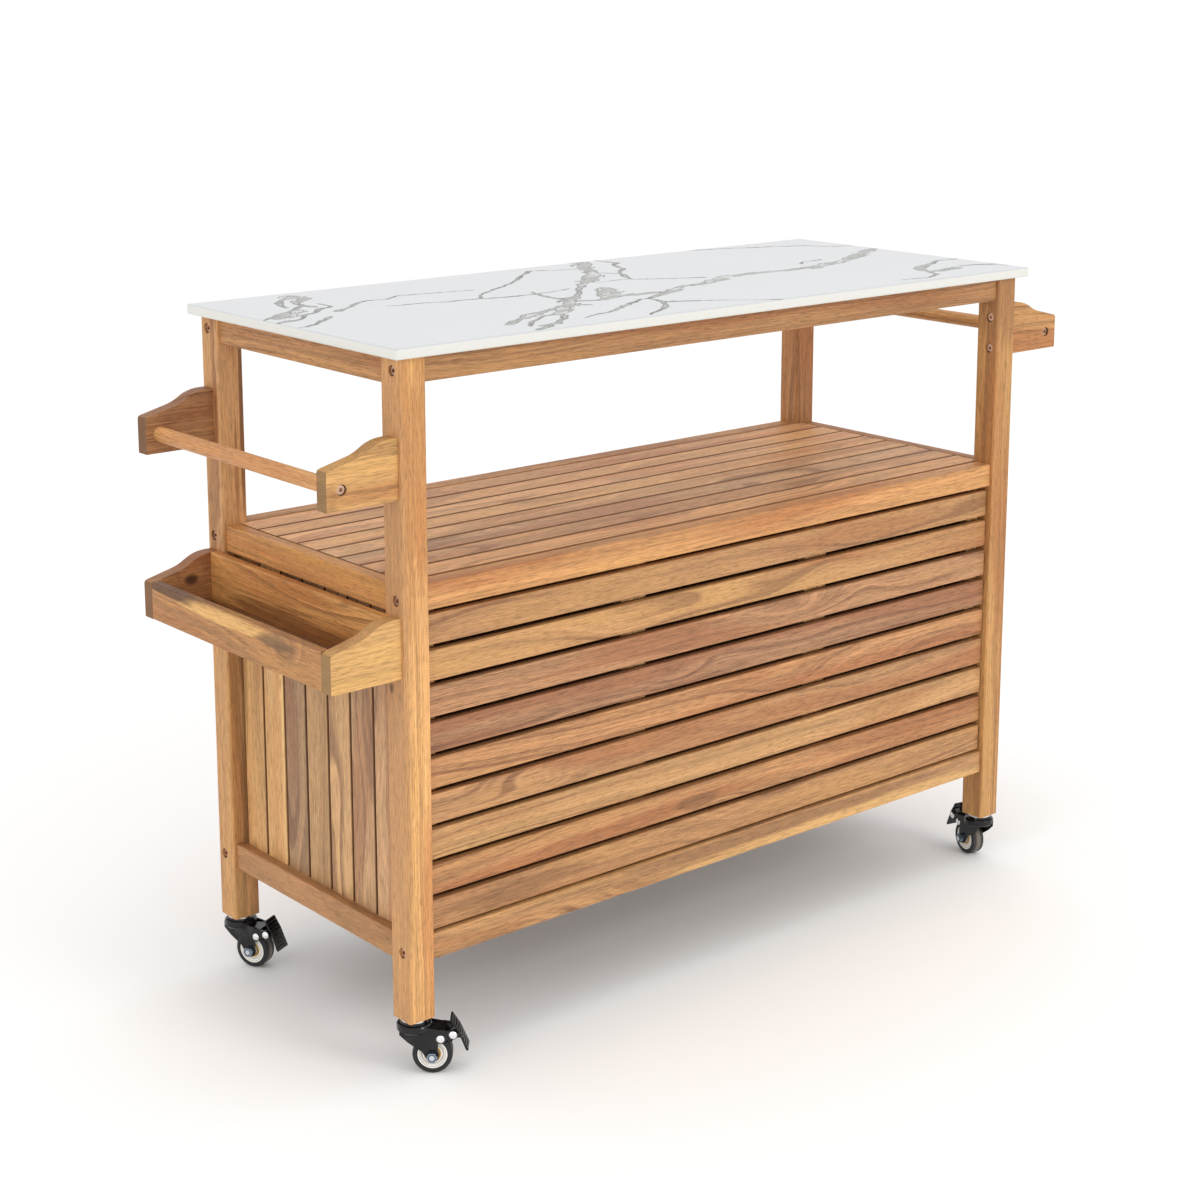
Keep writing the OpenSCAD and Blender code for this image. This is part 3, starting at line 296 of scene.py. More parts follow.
        # Painted shade on the faces that close the cabinet in, and from lap on over the boards' edges
        if shaded_facing:
            dark = facing.vector("DOT_PRODUCT", shaded_facing, "Value").rise(0.4, 0.8)
            if lap is not None:
                inward = here.vector("DOT_PRODUCT", shaded_facing, "Value")
                dark = dark.maths("MAXIMUM", dark, inward.rise(lap, lap + 0.002))
            wood = shaded(wood, (0.22, 0.17, 0.14), dark * inside_shade)
        return wood.surface({
            "Roughness": 0.42 + fibres * 0.16 + pores * 0.15 + end_grain * 0.15,
            "Specular IOR Level": 0.35, "Normal": (fibres * 0.5 - pores).bump(0.0003, 0.6)})

    dress(node, material(node + "_wood", look))


lumber("post_back_left", "z", [(226, 170, 108)], streaks=0.3, seed=3.0, knots=[
    ((-0.549, -0.196, 0.497), 0.004, 1.6, 0.7),
    ((-0.523, -0.223, 0.735), 0.009, 5.0, 0.0),
], marks=[
    ((-0.531, -0.204, 0.760), (0.10, 0.10, 0.180), (0.74, 0.66, 0.63), 0.95),
    ((-0.527, -0.223, 0.700), (0.009, 0.01, 0.070), (0.78, 0.64, 0.58), 0.75),
    # Painted shade down the post's left face, which gets less light
    ((-0.550, -0.204, 0.450), (0.006, 0.05, 0.600), (0.74, 0.72, 0.80), 0.9),
])
lumber("post_front_left", "z", [(198, 146, 94)], streaks=0.6, seed=5.0, marks=[
    # Painted light on the post's face towards -y, which lies in shade
    ((-0.531, 0.185, 0.760), (0.05, 0.006, 0.160), (1.27, 1.38, 1.55), 0.9),
    ((-0.516, 0.185, 0.770), (0.0035, 0.03, 0.110), (0.40, 0.32, 0.28), 0.85),
    ((-0.526, 0.185, 0.700), (0.0025, 0.03, 0.080), (0.55, 0.45, 0.40), 0.7),
])
lumber("post_back_right", "z", [(197, 146, 89)], streaks=0.4, seed=8.0, marks=[
    ((0.531, -0.223, 0.868), (0.05, 0.05, 0.070), (0.72, 0.66, 0.70), 0.95),
    ((0.512, -0.206, 0.740), (0.004, 0.004, 0.170), (0.66, 0.60, 0.62), 0.85),
    ((0.512, -0.216, 0.120), (0.004, 0.008, 0.080), (0.72, 0.64, 0.66), 0.85),
])
lumber("post_front_right", "z", [(190, 136, 84)], streaks=0.6, seed=12.0)

# Rails
# Long rails lie against the posts' inner sides and are drawn up with barrel nuts; end rails are tenoned.
# They are sawn from the same boards as the posts, and their edges are only eased.


def on_far_side(axis):
    """Numbers the two pieces of a pair: 0 on the low side of the axis and 1 on the high side."""
    return lambda *place: place["xyz".index(axis)] > 0.0


bottom_rail_marks = [
    ((0.28, -0.218, 0.148), (0.34, 0.1, 0.012), (1.45, 1.62, 1.50), 0.9),
    ((0.05, -0.218, 0.169), (0.42, 0.1, 0.010), (0.64, 0.62, 0.68), 0.8),
]
for node, tones, streaks, swirl, seed, marks in (
        ("top_long_rails", [(179, 130, 84), (175, 124, 76)], 0.45, 0.5, 21.0, ()),
        ("deck_long_rails", [(210, 152, 96), (190, 136, 84)], 0.25, 0.8, 4.0, ()),
        ("bottom_long_rails", [(194, 145, 96), (181, 130, 80)], 0.8, 0.9, 32.0, bottom_rail_marks)):
    lumber(node, "x", tones, on_far_side("y"), streaks=streaks, swirl=swirl, seed=seed, marks=marks)
for node, tones, streaks, swirl, seed in (
        ("top_end_rails", [(183, 132, 84), (177, 124, 76)], 0.6, 0.5, 41.0),
        ("deck_end_rails", [(203, 143, 82), (185, 130, 80)], 0.35, 0.7, 47.0),
        ("bottom_end_rails", [(179, 129, 84), (185, 130, 80)], 0.5, 0.6, 52.0)):
    lumber(node, "y", tones, on_far_side("x"), streaks=streaks, swirl=swirl, seed=seed)

# Bearers, battens and cleats
# Narrow bars inside the frame that carry the deck, floor, shelf and panels, screwed from inside.
# They are the plainest wood of the cart, with straight grain and little figure.


def by_height_and_length(x, y, z):
    """Numbers bars by the ninth of a metre that they lie in along the cart, and the seventh in height."""
    return (x * 9 + 6).floor() + (z * 7).floor()


def by_length(x, y, z):
    """Numbers bars by the quarter of a metre that they stand in along the cart."""
    return x * 4 + 2


bar_tones = [(150, 106, 68), (140, 96, 60), (156, 112, 72)]
lumber("cross_bearers", "y", bar_tones, by_height_and_length, seed=60.0)
# The battens' tones are raised as painted light, so that they show bright in the gaps between the back
# slats; their inner faces carry painted shade
lumber("back_battens", "z", [(250, 198, 134), (252, 203, 138), (247, 192, 126)], by_length,
       streaks=0.3, shaded_facing=(0.0, 1.0, 0.0), seed=64.0)
lumber("panel_cleats", "y", bar_tones, by_height_and_length, seed=67.0)

# Deck, floor and shelf
# Eight slats side by side on the bearers, a few millimetres apart, notched round the posts on the deck.
# The deck's slats get the light and the spills, and have gone greyer and pinker than the frame.


def rows(axis, first_edge, pitch):
    """Numbers boards that follow each other along an axis, from the first one's edge."""
    return lambda *place: (place["xyz".index(axis)] - first_edge) / pitch


slat_gap = 0.0024
slat_pitch = 0.047
deck_tones = [(226, 170, 117), (216, 163, 117), (219, 173, 129), (224, 175, 126),
              (239, 184, 129), (237, 183, 131), (225, 170, 117), (223, 166, 115)]
# Floor, shelf and partition tones are darkened with painted shade, for the shade inside the closed cabinet
shaded_inside_tones = [(132, 92, 58), (122, 84, 54), (138, 98, 62), (126, 88, 54)]
for node, tones, seed in (("deck_slats", deck_tones, 71.0), ("floor_slats", shaded_inside_tones, 83.0),
                          ("shelf_slats", shaded_inside_tones, 97.0)):
    first_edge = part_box(node)[0].y - slat_gap / 2
    lumber(node, "x", tones, rows("y", first_edge, slat_pitch), streaks=0.6, swirl=0.8,
           edges=("y", 0.9), seam_shade=0.065, shaded_facing=(0.0, 0.0, -1.0), seed=seed)

# Back panel
# Nine slats across the whole back, screwed to the battens from inside, with gaps that let air through.
# No two are alike: tan, golden, pink-brown with a swirl, streaked orange and light gold.
back_pitch = 0.0455
back_half_gap = 0.003
back_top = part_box("back_slats")[1].z + back_half_gap
lumber("back_slats", "x", [
    (186, 137, 92), (198, 148, 97), (185, 136, 96), (177, 130, 94), (194, 140, 94),
    (193, 143, 97), (200, 152, 101), (192, 139, 92), (190, 140, 94),
], rows("z", back_top, -back_pitch), streaks=0.7, swirl=1.0, edges=("z", 0.1), shaded_facing=(0.0, 1.0, 0.0),
       lap=-0.2055, seed=7.0, knots=[
    ((-0.11, -0.212, 0.432), 0.010, 3.0, 0.0),
    ((0.13, -0.212, 0.474), 0.012, 4.0, 0.0),
    ((-0.17, -0.212, 0.520), 0.0012, 1.0, 0.8),
], marks=[
    ((-0.065, -0.212, 0.240), (0.035, 0.05, 0.011), (0.50, 0.48, 0.50), 0.8),
    ((-0.370, -0.212, 0.200), (0.130, 0.05, 0.013), (0.66, 0.62, 0.62), 0.75),
    ((0.25, -0.212, 0.566), (0.16, 0.05, 0.016), (0.86, 0.72, 0.66), 0.7),
])

# End panels and partition
# Seven upright slats between the end rails, standing back from them, on cleats; the partition is alike.
# The left end shows the widest range of colour, with one slat streaked blue-grey.
end_pitch = 0.051
end_half_gap = 0.0015
end_tones = [(199, 155, 112), (192, 150, 109), (209, 163, 114), (191, 148, 102),
             (171, 133, 98), (229, 185, 123), (204, 156, 101)]
for node, tones, inward, seed in (("left_end_slats", end_tones, (1.0, 0.0, 0.0), 15.0),
                                  ("right_end_slats", end_tones[::-1], (-1.0, 0.0, 0.0), 18.0),
                                  ("partition_slats", shaded_inside_tones, None, 26.0)):
    first_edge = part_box(node)[0].y - end_half_gap
    lumber(node, "z", tones, rows("y", first_edge, end_pitch), streaks=0.75, swirl=0.9,
           edges=("y", 0.9), seam_shade=0.045, shaded_facing=inward, seed=seed)

# Doors
# Each door is a frame of two stiles and two rails, tenoned, round five boards loose in its grooves.
# They hang on the far side, the left two as a pair, with a mullion between them and the third.
door_stile = 0.042
board_pitch = {"left": 0.0505, "centre": 0.0505, "right": 0.049}
frame_tones = [(202, 146, 92), (194, 140, 88), (185, 132, 84), (198, 144, 92)]
board_tones = [(198, 144, 94), (181, 130, 86), (204, 154, 101), (175, 126, 86), (192, 138, 90)]
door_inward = (0.0, -1.0, 0.0)


def door_members(low, high):
    """How to number a door frame's members, and which stand: 0 and 1 are the stiles, 2 and 3 the rails."""
    middle = (low + high) / 2
    reach = (high.x - low.x) / 2 - door_stile

    def on_stile(x, y, z):
        return (x - middle.x).size() > reach

    def member(x, y, z):
        stile = on_stile(x, y, z)
        return stile * (x > middle.x) + (1 - stile) * (2 + (z > middle.z))

    return member, on_stile


lumber("door_mullion", "z", [(194, 138, 88)], seed=90.0)
for turn, door in enumerate(("left", "centre", "right")):
    door_frame, door_boards = door + "_door_frame", door + "_door_boards"
    lumber(door_frame, "x", frame_tones, *door_members(*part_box(door_frame)), streaks=0.4,
           shaded_facing=door_inward, inside_shade=0.6, seed=100.0 + 10 * turn)
    lumber(door_boards, "z", board_tones[turn:] + board_tones[:turn],
           rows("x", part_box(door_boards)[0].x, board_pitch[door]), streaks=0.7, edges=("x", 0.5),
           shaded_facing=door_inward, inside_shade=0.6, seed=140.0 + 10 * turn)

# Towel bars and tray
# Ogee brackets, sawn from 20 mm board and bolted through the posts, hold a turned bar at each end of the
# cart. The left end also has a tray of the same sides, with two long boards and a thin bottom.


def quarter(x, y, z):
    """Numbers the four brackets or the tray's two sides."""
    return (x > 0.0) * 2 + (y > 0.0)


tray_middle = -0.6


def tray_board(x, y, z):
    """Numbers the tray's long boards: 0 is the outer one and 1 the inner one."""
    return x > tray_middle


lumber("towel_bar_brackets", "x", [(211, 160, 100), (171, 122, 80), (196, 142, 88), (185, 132, 84)],
       quarter, streaks=0.7, swirl=0.8, edges=("z", 0.35), seed=33.0, marks=[
    ((-0.565, -0.223, 0.797), (0.05, 0.05, 0.010), (0.62, 0.62, 0.62), 0.7),
    ((-0.644, -0.223, 0.750), (0.012, 0.05, 0.016), (0.62, 0.58, 0.56), 0.6),
])
lumber("towel_bars", "y", [(215, 163, 105), (204, 151, 95)], on_far_side("x"),
       streaks=0.3, swirl=0.3, seed=38.0)
lumber("tray_sides", "x", [(214, 165, 104), (183, 130, 84)], quarter,
       streaks=0.6, swirl=0.8, edges=("z", 0.4), seed=44.0, knots=[
    ((-0.592, 0.199, 0.556), 0.007, 1.4, 0.85),
])
lumber("tray_long_boards", "y", [(179, 127, 77), (224, 163, 96)], tray_board,
       streaks=0.8, swirl=1.2, edges=("z", 0.35), seed=55.0, marks=[
    ((-0.65, 0.030, 0.553), (0.05, 0.130, 0.010), (1.70, 2.05, 1.95), 1.0),
    ((-0.65, 0.155, 0.560), (0.05, 0.070, 0.010), (0.34, 0.32, 0.38), 1.0),
    ((-0.65, -0.100, 0.548), (0.05, 0.045, 0.010), (0.46, 0.48, 0.56), 0.85),
    # Painted shade over the inner board's lower part, where the outer board shades it
    ((-0.57, -0.060, 0.518), (0.03, 0.240, 0.036), (0.42, 0.33, 0.28), 0.9),
], knots=[
    ((-0.65, -0.120, 0.540), 0.014, 1.6, 0.12),
])
# The bottom's dark tone is painted shade, for the shade deep in the tray
lumber("tray_bottom", "y", [(128, 86, 52)], streaks=0.4, seed=58.0)

# Bolts, hinges and knobs
# Zinc-plated steel: socket-head bolts sunk in the posts and brackets, door hinges, catches and knobs.
# The bolts' plating has a warm cast; all of it carries faint rubbing marks.


def plated_steel(here, tone, roughness):
    """Plated steel: cloudy brightness, and scratches that run every way but flat."""
    bright = paint(*tone)
    dull = (*(0.88 * light for light in bright[:3]), 1.0)
    rubs = here.clouds((900.0, 900.0, 140.0), 2.0)
    return here.clouds(60.0, 2.0).rise(0.35, 0.65).between(dull, bright).surface({
        "Metallic": 1.0, "Roughness": roughness - 0.08 + rubs * 0.2, "Normal": rubs.bump(0.00004, 0.5)})


bolt_steel = material("warm_zinc", plated_steel, (206, 170, 148), 0.32)
bright_steel = material("bright_zinc", plated_steel, (240, 240, 242), 0.22)
for node in ("frame_bolts", "bracket_bolts"):
    dress(node, bolt_steel)
for node in ("door_hardware", "left_door_fittings", "centre_door_fittings", "right_door_fittings",
             "caster_stems"):
    dress(node, bright_steel)

# Casters
# A gloss black pressed fork with its bearing cup, a black brake pedal with ribs across its face, a zinc
# axle bolt and rivets, and a cream hub with a rubber tyre and a brass ring pressed on each side.


def black_enamel(here):
    """Gloss black enamel on pressed steel, with a slight orange peel and a little dust."""
    peel = here.clouds(420.0)
    dust = here.clouds(70.0, 3.0).rise(0.5, 0.75)
    return dust.between(paint(14, 14, 17), paint(40, 40, 43)).surface({
        "Roughness": 0.10 + dust * 0.2, "Specular IOR Level": 0.4, "Normal": peel.bump(0.00006, 0.8)})


def round_the_axle(here, joint):
    """(distance from the axle's line, distance along it) of a place on the wheel, in metres."""
    out = here.vector("SUBTRACT", joint["pos_m"])
    along = out.vector("DOT_PRODUCT", joint["axis"], "Value")
    return out.vector("CROSS_PRODUCT", joint["axis"]).length(), along


# Radii of the moulded ring on the tyre's side walls, of the hub's two turned rings and of the bolt's end
wall_ring = 0.0213
hub_rings = (0.0165, 0.0132)
bolt_end = 0.0042


def tyre_rubber(here, joint):
    """Soft black rubber, dustier and duller on the tread, with a moulded ring on each side wall."""
    radius, along = round_the_axle(here, joint)
    tread = radius.rise(0.0235, 0.0249)
    worn = along.size().rise(0.0046, 0.0026) * tread
    dust = here.clouds(160.0, 3.0)
    rubber = (0.6 * tread * dust).between(paint(30, 30, 32), paint(84, 80, 76))
    rubber = rubber.mixed(paint(138, 126, 112), worn * (0.35 + dust * 0.6))
    ring = (radius - wall_ring).size().rise(0.0009, 0.0003)
    return rubber.surface({
        "Roughness": 0.5 + dust * 0.25, "Normal": (ring + dust * 0.2).bump(0.0003, 0.7)})


def hub_plastic(here, joint):
    """Cream moulded plastic with two rings turned in its face and grey grease round the boss."""
    radius, _ = round_the_axle(here, joint)
    grease = radius.rise(0.0118, 0.0085) * (0.35 + here.clouds(300.0, 2.0) * 0.5)
    outer, inner = ((radius - ring).size().rise(0.0006, 0.0002) for ring in hub_rings)
    rings = outer + inner
    cream = grease.between(paint(254, 252, 246), paint(126, 116, 106))
    return cream.mixed(paint(150, 126, 92), rings * 0.7).surface({
        "Roughness": 0.3 + grease * 0.2, "Normal": (1 - rings).bump(0.0003, 0.6)})


def axle_zinc(here, joint):
    """Bright zinc on the rivets and the pin; the axle's bolt and nut have gone blue-grey, with a dark line
    of shadow and grease round the bolt's end."""
    radius, _ = round_the_axle(here, joint)
    rubs = here.clouds(500.0, 2.0)
    zinc = radius.rise(0.0085, 0.0075).between(paint(240, 240, 242), paint(146, 160, 176))
    zinc = zinc.mixed(paint(212, 220, 228), radius.rise(0.0037, 0.0031))
    zinc = zinc.mixed(paint(58, 66, 78), (radius - bolt_end).size().rise(0.0008, 0.0004) * 0.9)
    return zinc.surface({
        "Metallic": 1.0, "Roughness": 0.16 + rubs * 0.2, "Normal": rubs.bump(0.00004, 0.5)})


def brass(here):
    """Turned brass with fine tool lines."""
    lines = here.clouds(1500.0)
    return lines.between(paint(176, 134, 62), paint(222, 184, 108)).surface({
        "Metallic": 1.0, "Roughness": 0.24 + lines * 0.16, "Normal": lines.bump(0.00003, 0.4)})


def grid_faces(rings, points_round, closed=False):
    """The quads of a grid of points that are numbered ring after ring. Each joins two neighbours on a ring
    to the same two on the next. Every ring closes on itself, and closed joins the last ring to the first."""
    i, j = np.meshgrid(np.arange(rings if closed else rings - 1), np.arange(points_round), indexing="ij")
    i_next, j_next = (i + 1) % rings, (j + 1) % points_round
    corners = [i * points_round + j, i * points_round + j_next,
               i_next * points_round + j_next, i_next * points_round + j]
    return np.stack(corners, -1).reshape(-1, 4)


def turned(profile, joint, steps=48):
    """A closed ring turned on an axle: point (r, h) of the profile goes round the joint's axis as
    centre + h axis + r (cos t side + sin t up), with t in equal steps. Returns its points and faces."""
    axis = np.array(joint["axis"]) / np.linalg.norm(joint["axis"])
    up = np.array((0.0, 0.0, 1.0))
    side = np.cross(up, axis)
    r, h = np.array(profile).T
    t = np.linspace(0, 2 * np.pi, steps, endpoint=False)
    out = np.cos(t)[:, None] * side + np.sin(t)[:, None] * up
    points = np.array(joint["pos_m"]) + h[None, :, None] * axis + r[None, :, None] * out[:, None, :]
    return points.reshape(-1, 3), grid_faces(steps, len(r), closed=True)


# The pedal's outer face, from its top to its tip, as distances outwards and upwards from the pin
pedal_face = [(-0.0013, 0.0191), (0.0082, 0.0040), (0.0189, -0.0204)]
rib_pitch = 0.005
rib_radius = 0.0008
rib_length = 0.020


def grip_ribs(joint, pedal):
    """The ribs across a pedal's outer face: each is a bar half sunk in the face, with round ends. Ring p of
    a bar is at middle + (half its straight length, to the side of cos p, + radius cos p) axis, and point t
    of the ring at radius sin p (cos t outward + sin t up) from there. Returns the points and faces."""
    pin = np.array(joint["pos_m"])
    pedal_middle = np.mean([tuple(corner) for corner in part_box(pedal)], axis=0)
    up = np.array((0.0, 0.0, 1.0))
    outward = np.cross(up, joint["axis"])
    outward *= np.sign((pedal_middle - pin) @ outward)
    axis = np.cross(outward, up)
    face_out, face_up = np.array(pedal_face).T
    run = np.concatenate(([0.0], np.cumsum(np.hypot(np.diff(face_out), np.diff(face_up)))))
    down = np.arange(rib_pitch, run[-1] - 0.5 * rib_pitch, rib_pitch)
    middles = pin + np.interp(down, run, face_out)[:, None] * outward
    middles += np.interp(down, run, face_up)[:, None] * up

    end_opening = 0.2
    p = np.linspace(end_opening, np.pi - end_opening, 8)
    t = np.linspace(0, 2 * np.pi, 12, endpoint=False)
    along = np.sign(np.cos(p)) * (rib_length / 2 - rib_radius) + rib_radius * np.cos(p)
    out = np.cos(t)[:, None] * outward + np.sin(t)[:, None] * up
    rings = along[:, None, None] * axis + rib_radius * np.sin(p)[:, None, None] * out
    points = middles[:, None, None, :] + rings
    facing_out = [0, 3, 2, 1]
    sides = grid_faces(len(p), len(t))[:, facing_out]
    caps = np.stack((np.arange(len(t)), len(p) * len(t) - 1 - np.arange(len(t))))
    starts = np.arange(len(middles))[:, None, None] * len(p) * len(t)
    return points.reshape(-1, 3), [*(sides + starts).reshape(-1, 4), *(caps + starts).reshape(-1, len(t))]


def piece(name, points, faces, finish, body, slot):
    """A smooth mesh object at the origin, in the cart's own frame, that rides on a body."""
    mesh = bpy.data.meshes.new(name)
    mesh.from_pydata(points.tolist(), [], [list(map(int, face)) for face in faces])
    mesh.polygons.foreach_set("use_smooth", np.ones(len(mesh.polygons), bool))
    mesh.materials.append(finish)
    mesh.update()
    made = bpy.data.objects.new(name, mesh)
    bpy.context.scene.collection.objects.link(made)
    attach(made, body)
    return made


hub_face = 0.0078
ring_inside, ring_outside = 0.0080, 0.0107
ring_sunk, ring_proud, ring_chamfer = 0.0004, 0.0010, 0.0006
ring_profile = [
    (ring_inside, hub_face - ring_sunk),
    (ring_outside, hub_face - ring_sunk),
    (ring_outside, hub_face + ring_proud - ring_chamfer),
    (ring_outside - ring_chamfer, hub_face + ring_proud),
    (ring_inside + ring_chamfer, hub_face + ring_proud),
    (ring_inside, hub_face + ring_proud - ring_chamfer),
]
far_ring_profile = [(r, -h) for r, h in ring_profile[::-1]]
enamel = material("black_enamel", black_enamel)
ring_brass = material("ring_brass", brass)
for joint in frame["joints"]:
    corner, _, kind = joint["child"].rpartition("_")
    if kind == "brake":
        pedal = corner + "_pedal"
        dress(pedal, enamel)
        piece(pedal + "_ribs", *grip_ribs(joint, pedal), enamel, joint["child"], "black_steel")
    elif kind == "wheel":
        dress(corner + "_fork", enamel)
        dress(corner + "_axle", material(corner + "_axle_zinc", axle_zinc, joint))
        dress(corner + "_tyre", material(corner + "_rubber", tyre_rubber, joint))
        dress(corner + "_hub", material(corner + "_cream", hub_plastic, joint))
        near, near_faces = turned(ring_profile, joint)
        far, far_faces = turned(far_ring_profile, joint)
        piece(corner + "_hub_ring", np.vstack((near, far)), np.vstack((near_faces, far_faces + len(near))),
              ring_brass, joint["child"], "steel")

# Worktop
# One slab of sintered stone, 13.5 mm thick, with eased edges, that rests on the top rails and overhangs
# them. It is cool white, with slanting grey-green veins that branch and here and there open into patches.
slab_low, slab_high = (np.array(corner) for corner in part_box("worktop"))
slab_ease = 0.0025
slab_grid = 0.0026
# Each vein: the places that it passes and its half-width there, in millimetres
veins = [
    # Left of the middle
    [(-375, 50, 0.4), (-293, 33, 0.7), (-247, 26, 1.0), (-207, 14, 1.2), (-167, 12, 1.0), (-91, 21, 0.3)],
    [(-153, 33, 1.4), (-163, -7, 2.0), (-166, -43, 1.8), (-140, -42, 1.2)],
    # The broad vein from the far edge to the near one, and its toes
    [(100, 236, 9.0), (89, 214, 12.0), (59, 170, 10.0), (43, 139, 6.0), (16, 99, 12.0), (-21, 70, 11.0),
     (-60, 36, 4.0), (-95, 0, 1.6), (-128, -36, 2.4), (-172, -76, 8.0), (-213, -116, 11.0),
     (-246, -146, 5.0)],
    [(-246, -144, 3.0), (-275, -148, 1.4), (-312, -172, 2.0), (-337, -200, 2.4)],
    [(-246, -152, 3.0), (-268, -180, 1.8), (-298, -202, 2.6), (-326, -209, 2.4)],
    [(-348, -227, 1.8), (-316, -216, 2.6)],
    [(-190, -92, 3.0), (-222, -108, 2.6), (-243, -113, 2.6), (-276, -128, 7.0), (-311, -147, 3.0),
     (-352, -174, 4.0)],
    [(-184, -66, 1.6), (-154, -46, 2.4), (-134, -39, 1.2)],
    # The patch beside it
    [(-182, -83, 3.0), (-156, -74, 3.0), (-138, -82, 2.0), (-118, -83, 4.0), (-96, -68, 13.0),
     (-72, -36, 14.0), (-52, -4, 8.0)],
    [(-184, -97, 3.0), (-166, -110, 0.8)],
    [(-96, -66, 10.0), (-64, -76, 6.0), (-17, -82, 2.4), (5, -85, 2.0)],
    # The long vein to the right end
    [(-78, -118, 1.0), (-50, -106, 2.4), (-23, -93, 3.4), (5, -80, 6.0), (43, -59, 4.0), (80, -57, 3.0),
     (127, -38, 8.0), (150, -26, 9.0), (192, -22, 5.0), (265, -30, 5.0), (320, -30, 8.0), (392, -16, 6.0),
     (443, 8, 6.0), (502, 39, 9.0), (563, 68, 5.0)],
    # Fine ones between the broad vein and the long one
    [(30, 44, 0.5), (77, 13, 1.0), (127, -10, 1.6)],
    [(128, 236, 1.0), (135, 191, 2.4), (117, 178, 1.6), (99, 137, 2.4), (66, 101, 1.4), (48, 72, 2.6),
     (33, 41, 0.7)],
    [(30, 140, 1.6), (62, 95, 0.8)],
    [(-27, 49, 0.3), (29, 45, 0.4)],
    # Hairlines from the far edge towards the left, and along the near edge
    [(-21, 202, 1.5), (-49, 180, 1.3), (-98, 135, 1.1), (-151, 96, 0.7), (-210, 64, 1.1), (-245, 26, 0.5)],
    [(-21, 202, 1.0), (15, 184, 0.6), (50, 176, 0.3)],
    [(-245, -190, 0.3), (-183, -170, 1.4), (-151, -154, 2.4), (-122, -134, 2.0), (-82, -114, 0.3)],
    [(-71, -116, 0.8), (-76, -149, 1.6), (-103, -187, 2.4), (-125, -198, 1.2), (-162, -224, 0.4)],
    [(-76, -149, 1.6), (-32, -176, 0.9), (20, -211, 0.6), (60, -236, 0.4)],
    # The right end
    [(310, 236, 0.3), (338, 228, 0.8), (399, 207, 1.0), (497, 167, 1.8), (528, 126, 1.0), (563, 118, 0.5)],
    [(338, 10, 1.6), (354, 20, 0.8), (394, 24, 1.0)],
    [(563, -100, 1.0), (520, -98, 0.8), (485, -114, 3.0), (457, -128, 5.0), (439, -131, 7.0),
     (420, -152, 6.0), (415, -174, 4.0), (440, -176, 5.0), (482, -170, 5.0)],
    [(495, -160, 0.8), (535, -168, 2.4), (563, -192, 8.0)],
    [(411, -181, 3.0), (402, -203, 1.8), (367, -214, 0.8), (319, -208, 0.3)],
    # The left end
    [(-427, 198, 10.0), (-422, 180, 8.0), (-453, 145, 4.0), (-456, 126, 3.0), (-450, 102, 1.6)],
    [(-434, 190, 4.0), (-452, 184, 2.0), (-470, 160, 3.0), (-481, 139, 1.6), (-484, 120, 1.0)],
    [(-459, 121, 1.8), (-499, 89, 2.0), (-527, 69, 2.4), (-563, 48, 1.0)],
    [(-486, 88, 6.0), (-512, 64, 10.0), (-545, 50, 4.0)],
    [(-434, 92, 1.0), (-458, 83, 3.0), (-477, 63, 1.0), (-499, 53, 1.8), (-521, 29, 1.2), (-542, 20, 4.0),
     (-563, 16, 3.0)],
    [(-430, 126, 0.3), (-434, 92, 1.0)],
    [(-200, 98, 0.3), (-307, 118, 0.7), (-338, 104, 1.0), (-367, 108, 0.8), (-403, 88, 1.4),
     (-429, 66, 1.0), (-450, 54, 3.0)],
    [(-479, 22, 0.6), (-508, -2, 3.0), (-528, -19, 1.0), (-560, -30, 0.4)],
]
# Depth given to places with no vein near them
outside_veins = -0.05


def wobble(places, wavelength, seed):
    """A smooth random height over the slab: the mean of seven sine waves of about one wavelength, each
    with its own direction and start."""
    chance = np.random.default_rng(seed)
    angle = chance.uniform(0, 2 * np.pi, 7)
    start = chance.uniform(0, 2 * np.pi, 7)
    stretch = chance.uniform(0.7, 1.4, 7)
    heading = np.stack((np.cos(angle), np.sin(angle))) * stretch * 2 * np.pi / wavelength
    return np.sin(places @ heading + start).mean(-1)


def vein_figure(places):
    """(depth, half-width) at each place, in metres. The depth is how far inside a vein the place is: the
    vein's half-width there, less the distance to its course, where a course counts as a rounded ridge so
    that a hair-thin vein doesn't slip between the slab's points. Both are those of the vein that the place
    is deepest in. The places are first pushed about by wobbles, so that the courses run as unevenly as
    cracks do."""
    bent = places.copy()
    for push, wavelength in ((0.0034, 0.070), (0.0018, 0.026), (0.0010, 0.012)):
        bent += push * np.stack([wobble(places, wavelength, seed) for seed in (10, 11)], -1)
    depth = np.full(len(places), outside_veins)
    width = np.zeros(len(places))
    roundness = 0.0018
    for vein in veins:
        stops = np.array(vein) / 1000
        for (*start, wide_start), (*end, wide_end) in zip(stops, stops[1:]):
            start = np.array(start)
            step = np.array(end) - start
            share = np.clip((bent - start) @ step / (step @ step), 0, 1)
            gap = np.linalg.norm(bent - start - share[:, None] * step, axis=1)
            wide = wide_start + (wide_end - wide_start) * share
            inside = wide - (np.hypot(gap, roundness) - roundness)
            width = np.where(inside > depth, wide, width)
            depth = np.maximum(depth, inside)
    return depth, width


